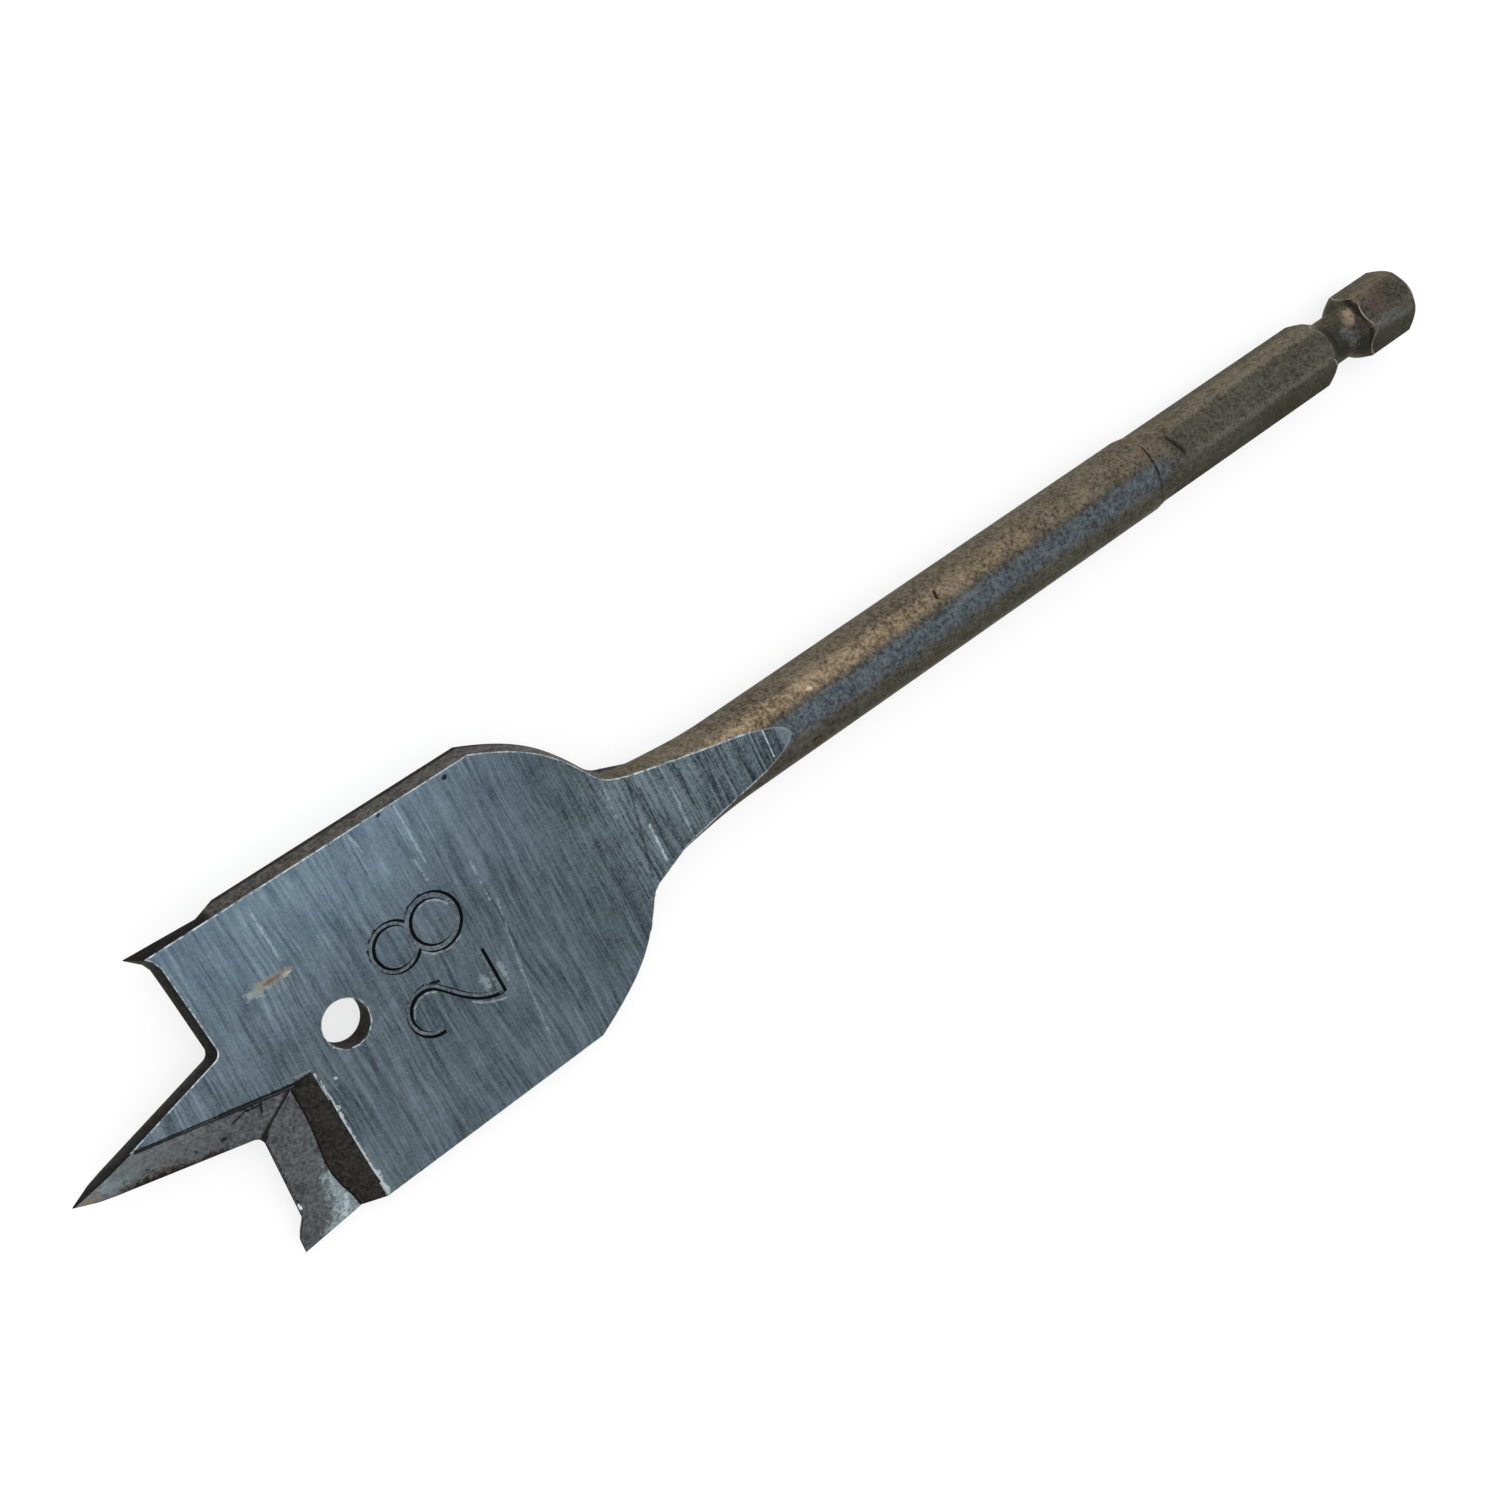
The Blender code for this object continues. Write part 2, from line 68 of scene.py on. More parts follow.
# Blade
HALF_THICKNESS = 1.32 * MM
BLANK_HALF_THICKNESS = 2.1 * MM
POINT_LENGTH = 14.6 * MM
HALF_WIDTH_AT_SPURS = 13.745 * MM
SIDE_TAPER = math.radians(0.62)
SIDE_RELIEF = 0.51 * MM
LIP_RELIEF = 0.80 * MM
POINT_RELIEF = 0.20 * MM
SHOULDER_DRAFT = 0.45 * MM
SHOULDER_END_HALF_WIDTH = 4.9 * MM
SHOULDER_START_ANGLE = math.radians(24.3)
SHOULDER_END_ANGLE = math.radians(61)
SHOULDER_FULLNESS = 0.419
SHOULDER_POINTS = 22
NECK_FILLET_RADIUS = 2.6 * MM
NECK_FILLET_POINTS = 6
NOTCH_RADIUS = 0.8 * MM
NOTCH_POINTS = 8
TIP_TAPER = Vector((3.1, 0.93)) * MM
POINT_ROOT_HALF_WIDTH = 3.86 * MM
TIP_BEVEL_SLOPE = math.radians(17.5)
TIP_LAND = 0.06 * MM
HOLE_RADIUS = 2.0 * MM
HOLE_CENTRE = Vector((24.45, 0.2)) * MM
HOLE_SIDES = 64

# Spur root, knee and tip ahead of the lip, their inset from the side, and the shoulder's ends
UPPER_WING = {"root": (0.32, 1.62), "knee": (0.60, 0.90), "tip": 1.45, "shoulder": (43.7, 53.0)}
LOWER_WING = {"root": (0.69, 2.22), "knee": (1.67, 0.99), "tip": 1.77, "shoulder": (42.3, 52.5)}
UPPER_POCKET_LENGTH = 6.6 * MM
LOWER_POCKET_LENGTH = 5.95 * MM

# Rake pocket and the facet along the centre point
LIP_FRONT = POINT_LENGTH - 0.3 * MM
NOTCH_CORNER = Vector((14.4, -4.11)) * MM
POCKET_RAMP_LENGTH = 1.95 * MM
POCKET_RAMP_SWELL = 0.7 * MM
POCKET_RAMP_LEAN = 1.7
POCKET_FOOT_DEPTH = 1.25 * MM
POCKET_LIP_DEPTH = 0.74 * MM
POCKET_INNER_Y = 1.6 * MM
POCKET_SHARES = (0.35, 0.5, 0.6, 0.7, 0.8, 0.9, 1, 1.25)
FACET_START = Vector((5.8, 1.35)) * MM
FACET_TURN = math.radians(12.7)
FACET_SLOPE = math.radians(12.4)

# Shaft, neck and shank
SHAFT_RADIUS = 3.8 * MM
SHAFT_END = 114.2 * MM
NECK_START = 52.6 * MM
NECK_FLARE_END = 64.3 * MM
NECK_FLARE_RADIUS = 41.0 * MM
NECK_STATIONS = 18
NECK_SHARE = 0.945
NECK_SHARE_LENGTH = 6.0 * MM
TANG_RAMP_START = 52.0 * MM
TANG_RAMP_END = 69.0 * MM
TANG_BLEND_RADIUS = 30.0 * MM
TANG_BLEND_POINTS = 10
OVERALL_LENGTH = 152.0 * MM
HEX_RAMP_LENGTH = 4.1 * MM
HEX_ACROSS_FLATS = 6.35 * MM
HEX_TURN = math.radians(24.5)
HEX_CORNER_FLAT = 0.3 * MM
HEX_END_CHAMFER = 1.25 * MM
GROOVE_CENTRE = 142.15 * MM
GROOVE_RADIUS = 2.35 * MM
GROOVE_FLOOR_LENGTH = 2.6 * MM
GROOVE_FRONT_SLOPE = math.radians(30.0)
GROOVE_REAR_SLOPE = math.radians(34.0)

# The stamped number
NUMBER_WIDE = 0.68 * MM
NUMBER_NARROW = 0.56 * MM
NUMBER_DEPTH = 0.13 * MM
WALL_RUN = 0.15 * MM
WALL_RUN_CHANGE = 0.12 * MM
NUMBER_BASE_X = 36.78 * MM
NUMBER_HEIGHT = 7.87 * MM
EIGHT_CENTRE_Y = 3.14 * MM
EIGHT_LARGE_RADIUS = 2.17 * MM
EIGHT_SMALL_RADIUS = 1.97 * MM
TWO_RIGHT_Y = -1.1 * MM
TWO_WIDTH = 4.04 * MM
TWO_HEAD_RADIUS = 1.94 * MM
TWO_HEAD_START = math.radians(275)
TWO_HEAD_END = math.radians(42)
TWO_LEAVING = 0.85
TWO_ARRIVING = 1.15
TOWARDS_SHANK = Vector((1.0, 0.1))
TOWARDS_LOWER_WING = Vector((0.3, -0.95))
NUMBER_BOX = (28.0 * MM, 38.5 * MM, -6.5 * MM, 6.5 * MM)

# Edges
EDGE_WIDTH = 0.085 * MM
EDGE_ANGLE = math.radians(31.5)
SHORTEST_EDGE = 0.1 * MM
TIP_LEFT_SHARP = 1.2 * MM
SMOOTH_ANGLE = math.radians(22)

# Light and floor: each lamp has its place, width and power
ROOM_LIGHT = 0.7
CEILING_LAMP = ((-0.2, 0.1, 1.0), 1.2, 3.2)
WINDOW_LAMP = ((0.1, 0.8, 0.5), 0.6, 1.2)
FLOOR_SIZE = 8
FLOOR_COLOUR = (0.36, 0.36, 0.36)
FLOOR_GLOW = 0.72

# Drawing
ROUND_SIDES = 96
SPARE = 2.0 * MM
FIRST_STEP = 0.01 * MM
SAME_PLACE = 0.002 * MM
NO_MOVE = 1e-8

# Drawing by hand: points are extruded one from another


def select_only(obj):
    bpy.ops.object.select_all(action="DESELECT")
    obj.select_set(True)
    bpy.context.view_layer.objects.active = obj


def pick(obj, wanted):
    """Selects the corners whose numbers are wanted, and nothing else."""
    bpy.ops.mesh.select_all(action="DESELECT")
    bm = bmesh.from_edit_mesh(obj.data)
    bm.verts.ensure_lookup_table()
    for number in wanted:
        bm.verts[number].select = True
    bm.select_flush(True)
    bmesh.update_edit_mesh(obj.data)


def trace(name, points):
    """A face drawn corner by corner: one point, extruded along the outline."""
    bpy.ops.object.select_all(action="DESELECT")
    bpy.ops.mesh.primitive_plane_add(size=MM)
    obj = bpy.context.object
    obj.name = name
    bpy.ops.object.mode_set(mode="EDIT")
    bpy.ops.mesh.merge(type="CENTER")
    bpy.ops.transform.translate(value=points[0])
    for here, there in zip(points, points[1:]):
        bpy.ops.mesh.extrude_vertices_move(TRANSFORM_OT_translate={"value": there - here})
    pick(obj, [0, len(points) - 1])
    bpy.ops.mesh.edge_face_add()
    bpy.ops.mesh.select_all(action="SELECT")
    bpy.ops.mesh.edge_face_add()
    return obj


def close_up(obj, coat=None):
    """Turns the faces outwards, leaves edit mode and gives the body its coat."""
    bpy.ops.mesh.select_all(action="SELECT")
    bpy.ops.mesh.normals_make_consistent(inside=False)
    bpy.ops.object.mode_set(mode="OBJECT")
    if coat:
        obj.data.materials.append(coat)
    return obj


def loft(name, rings, coat=None):
    """A closed body: the first ring's face, extruded from ring to ring."""
    obj = trace(name, rings[0])
    for before, after in zip(rings, rings[1:]):
        step = after[0] - before[0]
        if step.length == 0:
            step = Vector((0, 0, FIRST_STEP))
        bpy.ops.mesh.extrude_region_move(TRANSFORM_OT_translate={"value": step})
        bm = bmesh.from_edit_mesh(obj.data)
        bm.verts.index_update()
        picked = [(v.index, v.co.copy()) for v in bm.verts if v.select]
        numbers = []
        for start, end in zip(before, after):
            place = start + step
            number, where = min(picked, key=lambda one: (one[1] - place).length)
            numbers.append(number)
            if (end - where).length > NO_MOVE:
                pick(obj, [number])
                bpy.ops.transform.translate(value=end - where)
        pick(obj, numbers)
    return close_up(obj, coat)


def turned(name, profile, coat):
    """A round body along the bit: a disc, extruded and resized from station to station. Each
    station is its place along the bit, its half width and its half height."""
    bpy.ops.object.select_all(action="DESELECT")
    place = profile[0][0]
    bpy.ops.mesh.primitive_circle_add(
        vertices=ROUND_SIDES,
        radius=MM,
        fill_type="NGON",
        location=(place, 0, 0),
        rotation=(0, math.pi / 2, 0),
    )
    obj = bpy.context.object
    obj.name = name
    bpy.ops.object.transform_apply()
    bpy.ops.object.mode_set(mode="EDIT")
    bpy.ops.mesh.select_all(action="SELECT")
    size = (MM, MM)
    for i, (x, wide, high) in enumerate(profile):
        if i:
            bpy.ops.mesh.extrude_region_move(TRANSFORM_OT_translate={"value": (x - place, 0, 0)})
        growth = (1, wide / size[0], high / size[1])
        bpy.ops.transform.resize(value=growth, center_override=(x, 0, 0))
        place, size = x, (wide, high)
    return close_up(obj, coat)


def finish_modifier(obj, modifier):
    select_only(obj)
    bpy.ops.object.modifier_apply(modifier=modifier.name)


def cut(body, tool, operation="DIFFERENCE"):
    """Takes the tool's shape from the body, or joins it on. New faces keep the tool's coat."""
    boolean = body.modifiers.new(tool.name, "BOOLEAN")
    boolean.operation = operation
    boolean.object = tool
    boolean.solver = "EXACT"
    boolean.material_mode = "TRANSFER"
    finish_modifier(body, boolean)
    bpy.data.objects.remove(tool)


def turned_over(tool):
    """The tool turned half round the bit's axis, for the back."""
    select_only(tool)
    tool.rotation_euler.x = math.pi
    bpy.ops.object.transform_apply()
    return tool


# Lines and arcs in the plane


def direction(angle):
    return Vector((math.cos(angle), math.sin(angle)))


def arc(centre, radius, start, end, count):
    """Points along an arc, from the angle start up to, but not at, the angle end."""
    return [centre + radius * direction(start + (end - start) * i / count) for i in range(count)]


def curve(start, leave, arrive, end, count):
    """Points along a curve with a handle at each end."""
    corners = [point.to_3d() for point in (start, leave, arrive, end)]
    return [point.to_2d() for point in interpolate_bezier(*corners, count)]


def fillet(before, corner, after, radius, count):
    """Points of an arc that rounds a corner."""
    back = (before - corner).normalized()
    ahead = (after - corner).normalized()
    half_angle = back.angle(ahead) / 2
    centre = corner + (back + ahead).normalized() * radius / math.sin(half_angle)
    start = corner + back * radius / math.tan(half_angle) - centre
    end = corner + ahead * radius / math.tan(half_angle) - centre
    sweep = start.angle_signed(end)
    return [centre + Matrix.Rotation(-sweep * i / (count - 1), 2) @ start for i in range(count)]


def line_crossing(a, along_a, b, along_b):
    cross = along_a.x * along_b.y - along_a.y * along_b.x
    reach = ((b - a).x * along_b.y - (b - a).y * along_b.x) / cross
    return a + along_a * reach


def offset_outline(corners, offsets):
    """A closed outline with each side moved outwards by its own distance."""
    moved = []
    for i, corner in enumerate(corners):
        after = corners[(i + 1) % len(corners)]
        along = (after - corner).normalized()
        outward = Vector((-along.y, along.x))
        moved.append((corner + outward * offsets[i], along))
    return [line_crossing(*moved[i - 1], *moved[i]) for i in range(len(moved))]


# The blade's outline


def side_half_width(x):
    return HALF_WIDTH_AT_SPURS - (x - POINT_LENGTH) * math.tan(SIDE_TAPER)


def neck_half_width(x):
    reach = max(NECK_FLARE_END - x, 0)
    return SHAFT_RADIUS + NECK_FLARE_RADIUS - math.sqrt(NECK_FLARE_RADIUS**2 - reach**2)


def shoulder(start, end):
    """The bend from the blade's side to the neck, and the small hollow where it meets the neck."""
    handle = (end - start).length * SHOULDER_FULLNESS
    leave = start + handle * direction(-SHOULDER_START_ANGLE)
    arrive = end - handle * direction(-SHOULDER_END_ANGLE)
    points = curve(start, leave, arrive, end, SHOULDER_POINTS)
    kept = [point for point in points if point.y > NECK_SHARE * neck_half_width(point.x)]
    last = kept[-1]
    into = (last - kept[-2]).normalized()
    near = last + into * 0.1 * MM
    neck_slope = -(NECK_FLARE_END - near.x) / NECK_FLARE_RADIUS
    on_neck = Vector((near.x, NECK_SHARE * neck_half_width(near.x)))
    along_neck = Vector((1, neck_slope)).normalized()
    corner = line_crossing(last, into, on_neck, along_neck)
    hollow = fillet(last, corner, corner + along_neck * 3 * MM, NECK_FILLET_RADIUS, NECK_FILLET_POINTS)
    kept = [point for point in kept if point.x < hollow[0].x - 0.1 * MM]
    inside = hollow[-1] + along_neck * 2.5 * MM - Vector((0, 0.4 * MM))
    return kept + hollow + [inside]


def wing_corners(wing):
    """A wing's outline at half the blade's thickness, with y counted outwards, and the relief
    of the side that starts at each corner."""
    spur_x = POINT_LENGTH - wing["tip"] * MM
    outer = side_half_width(spur_x)
    corners = [
        (Vector((0, 0)), POINT_RELIEF),
        (TIP_TAPER.copy(), POINT_RELIEF),
        (Vector((POINT_LENGTH, POINT_ROOT_HALF_WIDTH)), LIP_RELIEF),
    ]
    for ahead, inset in (wing["root"], wing["knee"]):
        corners.append((Vector((POINT_LENGTH - ahead * MM, outer - inset * MM)), LIP_RELIEF))
    corners.append((Vector((spur_x, outer)), SIDE_RELIEF))
    start_x, end_x = wing["shoulder"]
    start = Vector((start_x * MM, side_half_width(start_x * MM)))
    end = Vector((end_x * MM, SHOULDER_END_HALF_WIDTH))
    for point in shoulder(start, end):
        corners.append((point, SHOULDER_DRAFT))
    corners.append((Vector((NECK_START + NECK_SHARE_LENGTH, SHAFT_RADIUS / 2)), 0.0))
    return corners


def blade_outline(z):
    """The closed outline at the height z: a wing's sides stand out towards its leading face."""
    lean = z / HALF_THICKNESS / 2
    corners = []
    offsets = []
    for corner, relief in wing_corners(UPPER_WING):
        corners.append(corner)
        offsets.append(-relief * lean)
    lower = wing_corners(LOWER_WING)
    for i in range(len(lower) - 1, 0, -1):
        corners.append(Vector((lower[i][0].x, -lower[i][0].y)))
        offsets.append(lower[i - 1][1] * lean)
    moved = offset_outline(corners, offsets)
    outline = []
    notches = (2, len(moved) - 2)
    for i, corner in enumerate(moved):
        if i in notches:
            after = moved[(i + 1) % len(moved)]
            outline += fillet(moved[i - 1], corner, after, NOTCH_RADIUS, NOTCH_POINTS)
        else:
            outline.append(corner)
    return [Vector((point.x, point.y, z)) for point in outline]


# The bodies that are joined on or cut away


def shaft_blank(coat):
    start = NECK_START - 3 * MM
    profile = []
    for i in range(NECK_STATIONS):
        x = start + (NECK_FLARE_END - start) * i / (NECK_STATIONS - 1)
        grown = min(max((x - NECK_START) / NECK_SHARE_LENGTH, 0), 1)
        share = NECK_SHARE + (1 - NECK_SHARE) * grown
        profile.append((x, neck_half_width(x) * share, SHAFT_RADIUS))
    profile.append((SHAFT_END, SHAFT_RADIUS, SHAFT_RADIUS))
    inner = HEX_ACROSS_FLATS / 2 - 0.07 * MM
    profile.append((SHAFT_END + HEX_RAMP_LENGTH, inner, inner))
    return turned("shaft", profile, coat)


def shank_blank(coat):
    """Hexagonal bar, turned down at the locking groove and chamfered at its end."""
    half = HEX_ACROSS_FLATS / 2
    side = HEX_ACROSS_FLATS * math.tan(math.pi / 6) - HEX_CORNER_FLAT / math.cos(math.pi / 6)
    start = SHAFT_END - 0.7 * MM
    section = []
    for i in range(6):
        angle = math.pi / 2 - HEX_TURN + i * math.pi / 3
        outward = Vector((0, math.cos(angle), math.sin(angle)))
        along = Vector((0, -outward.z, outward.y))
        section.append(outward * half - along * side / 2 + Vector((start, 0, 0)))
        section.append(outward * half + along * side / 2 + Vector((start, 0, 0)))
    reach = Vector((OVERALL_LENGTH - start, 0, 0))
    bar = loft("shank", [section, [corner + reach for corner in section]], coat)
    corner_radius = math.hypot(half, side / 2)
    outside = corner_radius + 0.4 * MM
    groove_front = GROOVE_CENTRE - GROOVE_FLOOR_LENGTH / 2
    groove_rear = GROOVE_CENTRE + GROOVE_FLOOR_LENGTH / 2
    climb = outside - GROOVE_RADIUS
    end_radius = corner_radius - HEX_END_CHAMFER
    stations = [
        (SHAFT_END - SPARE, outside),
        (groove_front - climb / math.tan(GROOVE_FRONT_SLOPE), outside),
        (groove_front, GROOVE_RADIUS),
        (groove_rear, GROOVE_RADIUS),
        (groove_rear + climb / math.tan(GROOVE_REAR_SLOPE), outside),
        (OVERALL_LENGTH - (outside - end_radius), outside),
        (OVERALL_LENGTH + SPARE, end_radius - SPARE),
    ]
    cut(bar, turned("shank_envelope", [(x, r, r) for x, r in stations], coat), "INTERSECT")
    return bar


def crosswise_bar(name, profile, reach, coat):
    """A bar across the bit with the profile (x, z)."""
    return loft(name, [[Vector((x, y, z)) for x, z in profile] for y in (-reach, reach)], coat)


def face_grinding(coat):
    slope = math.atan((SHAFT_RADIUS - HALF_THICKNESS) / (TANG_RAMP_END - TANG_RAMP_START))
    blend = TANG_BLEND_RADIUS * math.tan(slope / 2)
    top = SHAFT_RADIUS + 2 * SPARE
    profile = [(-SPARE, HALF_THICKNESS)]
    for i in range(TANG_BLEND_POINTS):
        angle = slope * i / (TANG_BLEND_POINTS - 1)
        x = TANG_RAMP_START - blend + TANG_BLEND_RADIUS * math.sin(angle)
        profile.append((x, HALF_THICKNESS + TANG_BLEND_RADIUS * (1 - math.cos(angle))))
    profile.append((TANG_RAMP_START + (top - HALF_THICKNESS) / math.tan(slope), top))
    profile.append((-SPARE, top))
    return crosswise_bar("face_grinding", profile, HALF_WIDTH_AT_SPURS + SPARE, coat)


def tip_bevel(coat):
    top = HALF_THICKNESS + SPARE
    end_x = (top - TIP_LAND) / math.tan(TIP_BEVEL_SLOPE)
    start_z = TIP_LAND - SPARE * math.tan(TIP_BEVEL_SLOPE)
    profile = [(-SPARE, start_z), (end_x, top), (-SPARE, top)]
    return crosswise_bar("tip_bevel", profile, 2 * POINT_ROOT_HALF_WIDTH, coat)


def pocket_foot_x(length, share):
    """Where the ramp starts: it reaches furthest into the pocket at two thirds of its width."""
    foot = LIP_FRONT + length - POCKET_RAMP_LENGTH
    return foot - POCKET_RAMP_SWELL * math.sin(math.pi * min(share, 1) ** POCKET_RAMP_LEAN) ** 2


def point_facet(coat):
    """The slanting facet along the centre point's lower side, stopped at the crease before
    the pocket."""
    along = direction(-FACET_TURN)
    down = Vector((along.y, -along.x))
    crease_start = Vector((pocket_foot_x(LOWER_POCKET_LENGTH, 0), -POCKET_INNER_Y))
    crease = (NOTCH_CORNER - crease_start).normalized()
    plan = [
        crease_start - crease * SPARE / 4,
        NOTCH_CORNER,
        NOTCH_CORNER + crease * SPARE,
        Vector((-SPARE, -3 * POINT_ROOT_HALF_WIDTH)),
        Vector((-SPARE, FACET_START.y + SPARE)),
        FACET_START - down * SPARE,
        crease_start - down * SPARE,
    ]
    floor = []
    for point in plan:
        depth = (point - FACET_START).dot(down) * math.tan(FACET_SLOPE)
        floor.append(Vector((point.x, point.y, HALF_THICKNESS - depth)))
    roof = [Vector((point.x, point.y, HALF_THICKNESS + SPARE)) for point in plan]
    return loft("point_facet", [floor, roof], coat)


def rake_pocket(length, floor_coat, ramp_coat):
    """The pocket behind a lip: a floor that falls away from the lip, and a ramp back up."""
    inner = -POCKET_INNER_Y
    outer = -HALF_WIDTH_AT_SPURS
    end_x = LIP_FRONT + length
    foot_z = HALF_THICKNESS - POCKET_FOOT_DEPTH
    floor_slope = (POCKET_FOOT_DEPTH - POCKET_LIP_DEPTH) / (length - POCKET_RAMP_LENGTH)
    notch_share = (inner - NOTCH_CORNER.y) / (inner - outer)
    over_x = end_x + SPARE / (POCKET_FOOT_DEPTH / POCKET_RAMP_LENGTH)
    over_z = HALF_THICKNESS + SPARE
    rings = []
    for share in (0, notch_share, notch_share + 0.01, *POCKET_SHARES):
        y = inner + (outer - inner) * share
        foot_x = pocket_foot_x(length, share)
        front_x = foot_x + (NOTCH_CORNER.x - foot_x) * share / notch_share - 0.01 * MM
        if share > notch_share:
            front_x = LIP_FRONT - SPARE
        front_z = foot_z + (foot_x - front_x) * floor_slope
        rings.append([
            Vector((front_x, y, over_z)),
            Vector((front_x, y, front_z)),
            Vector((foot_x, y, foot_z)),
            Vector((end_x, y, HALF_THICKNESS)),
            Vector((over_x, y, over_z)),
        ])
    pocket = loft("rake_pocket", rings, floor_coat)
    pocket.data.materials.append(ramp_coat)
    for face in pocket.data.polygons:
        if face.normal.x > 0.3 or face.normal.y > 0.6:
            face.material_index = 1
    return pocket


def hanging_hole(coat):
    bpy.ops.object.select_all(action="DESELECT")
    bpy.ops.mesh.primitive_cylinder_add(
        vertices=HOLE_SIDES,
        radius=HOLE_RADIUS,
        depth=4 * HALF_THICKNESS,
        location=HOLE_CENTRE.to_3d(),
    )
    hole = bpy.context.object
    bpy.ops.object.transform_apply()
    hole.data.materials.append(coat)
    return hole


# The stamped number


def join_ends(bar, first_ring):
    """Makes a bar that ends where it starts one ring, without the faces across its ends."""
    bpy.context.view_layer.objects.active = bar
    bpy.ops.object.mode_set(mode="EDIT")
    bpy.ops.mesh.select_all(action="DESELECT")
    bm = bmesh.from_edit_mesh(bar.data)
    for face in bm.faces:
        face.select = face.calc_area() > 0 and len(face.verts) == 4 and all(
            any((v.co - corner).length < SAME_PLACE for corner in first_ring) for v in face.verts
        )
    bmesh.update_edit_mesh(bar.data)
    bpy.ops.mesh.delete(type="FACE")
    bpy.ops.mesh.select_all(action="SELECT")
    bpy.ops.mesh.remove_doubles(threshold=SAME_PLACE)
    close_up(bar)


def stroke(name, path, closed, coats, width, dark_way):
    """A bar along the path, wide at the blade's face and narrow at its floor. The wall on the
    side that the dark way points to is the broader one."""
    above = 0.3 * MM
    rings = []
    count = len(path)
    for i, point in enumerate(path):
        before = path[i - 1] if closed or i > 0 else point
        after = path[(i + 1) % count] if closed or i < count - 1 else point
        along = (after - before).normalized()
        sideways = Vector((along.y, -along.x))
        left, right = [
            WALL_RUN + side * dark_way.dot(sideways) * WALL_RUN_CHANGE for side in (-1, 1)
        ]
        section = [
            (-width / 2 - above * left / NUMBER_DEPTH, HALF_THICKNESS + above),
            (left - width / 2, HALF_THICKNESS - NUMBER_DEPTH),
            (width / 2 - right, HALF_THICKNESS - NUMBER_DEPTH),
            (width / 2 + above * right / NUMBER_DEPTH, HALF_THICKNESS + above),
        ]
        rings.append([
            Vector((point.x + sideways.x * out, point.y + sideways.y * out, z)) for out, z in section
        ])
    if closed:
        rings.append(rings[0])
    bar = loft(name, rings)
    if closed:
        join_ends(bar, rings[0])
    floor_coat, wall_coat = coats
    bar.data.materials.append(wall_coat)
    bar.data.materials.append(floor_coat)
    for face in bar.data.polygons:
        if face.normal.z < -0.99:
            face.material_index = 1
    return bar


def size_number(coats):
    """The strokes of 28. The digits stand with their tops towards the tip."""
    large_x = NUMBER_BASE_X - EIGHT_LARGE_RADIUS
    small_x = NUMBER_BASE_X - NUMBER_HEIGHT + EIGHT_SMALL_RADIUS
    large = arc(Vector((large_x, EIGHT_CENTRE_Y)), EIGHT_LARGE_RADIUS, 0, 2 * math.pi, 40)
    apart = large_x - small_x
    meeting = math.acos(
        (apart**2 + EIGHT_SMALL_RADIUS**2 - EIGHT_LARGE_RADIUS**2) / (2 * apart * EIGHT_SMALL_RADIUS)
    )
    small_centre = Vector((small_x, EIGHT_CENTRE_Y))
    small = arc(small_centre, EIGHT_SMALL_RADIUS, meeting, 2 * math.pi - meeting, 32)
    small.append(Vector((small[0].x, 2 * EIGHT_CENTRE_Y - small[0].y)))
    head = Vector((NUMBER_BASE_X - NUMBER_HEIGHT + TWO_HEAD_RADIUS, TWO_RIGHT_Y - TWO_WIDTH / 2))
    two = arc(head, TWO_HEAD_RADIUS, TWO_HEAD_START, TWO_HEAD_END, 22)
    neck = head + TWO_HEAD_RADIUS * direction(TWO_HEAD_END)
    onward = Vector((math.sin(TWO_HEAD_END), -math.cos(TWO_HEAD_END)))
    leave = neck + TWO_LEAVING * TWO_HEAD_RADIUS * onward
    foot = Vector((NUMBER_BASE_X - 0.08 * MM, TWO_RIGHT_Y - TWO_WIDTH))
    arrive = foot - TWO_ARRIVING * TWO_HEAD_RADIUS * Vector((1.0, -0.12))
    two += curve(neck, leave, arrive, foot, 14)
    base = [foot - Vector((0, 0.3 * NUMBER_WIDE)), Vector((foot.x, TWO_RIGHT_Y))]
    return [
        stroke("eight_large", large, True, coats, NUMBER_WIDE, TOWARDS_SHANK),
        stroke("eight_small", small, False, coats, NUMBER_NARROW, TOWARDS_SHANK),
        stroke("two", two, False, coats, NUMBER_NARROW, TOWARDS_LOWER_WING),
        stroke("two_base", base, False, coats, NUMBER_WIDE, TOWARDS_SHANK),
    ]


# Finishes: helpers for node trees


def add(tree, kind, **settings):
    node = tree.nodes.new(kind)
    for name, value in settings.items():
        setattr(node, name, value)
    return node


def connect(tree, socket, value):
    """Gives an input a link, a number or a colour."""
    if hasattr(value, "node"):
        tree.links.new(value, socket)
    elif socket.type == "RGBA":
        socket.default_value = (*value, 1)
    else:
        socket.default_value = value


def feed(tree, node, **values):
    """Gives the node's inputs their values, by name with _ for a space."""
    for name, value in values.items():
        connect(tree, node.inputs[name.replace("_", " ")], value)
    return node


def arithmetic(tree, operation, first, second=0.0, third=0.0, clamp=False):
    node = add(tree, "ShaderNodeMath", operation=operation, use_clamp=clamp)
    for socket, value in zip(node.inputs, (first, second, third)):
        connect(tree, socket, value)
    return node.outputs[0]


def multiply(tree, first, second):
    return arithmetic(tree, "MULTIPLY", first, second)


def weighed(tree, value, weight, rest, clamp=False):
    """The value times its weight, and the rest added."""
    return arithmetic(tree, "MULTIPLY_ADD", value, weight, rest, clamp=clamp)


def between(tree, operation, first, second, output="Vector"):
    """Arithmetic on two places."""
    node = add(tree, "ShaderNodeVectorMath", operation=operation)
    connect(tree, node.inputs[0], first)
    connect(tree, node.inputs[1], second)
    return node.outputs[output]


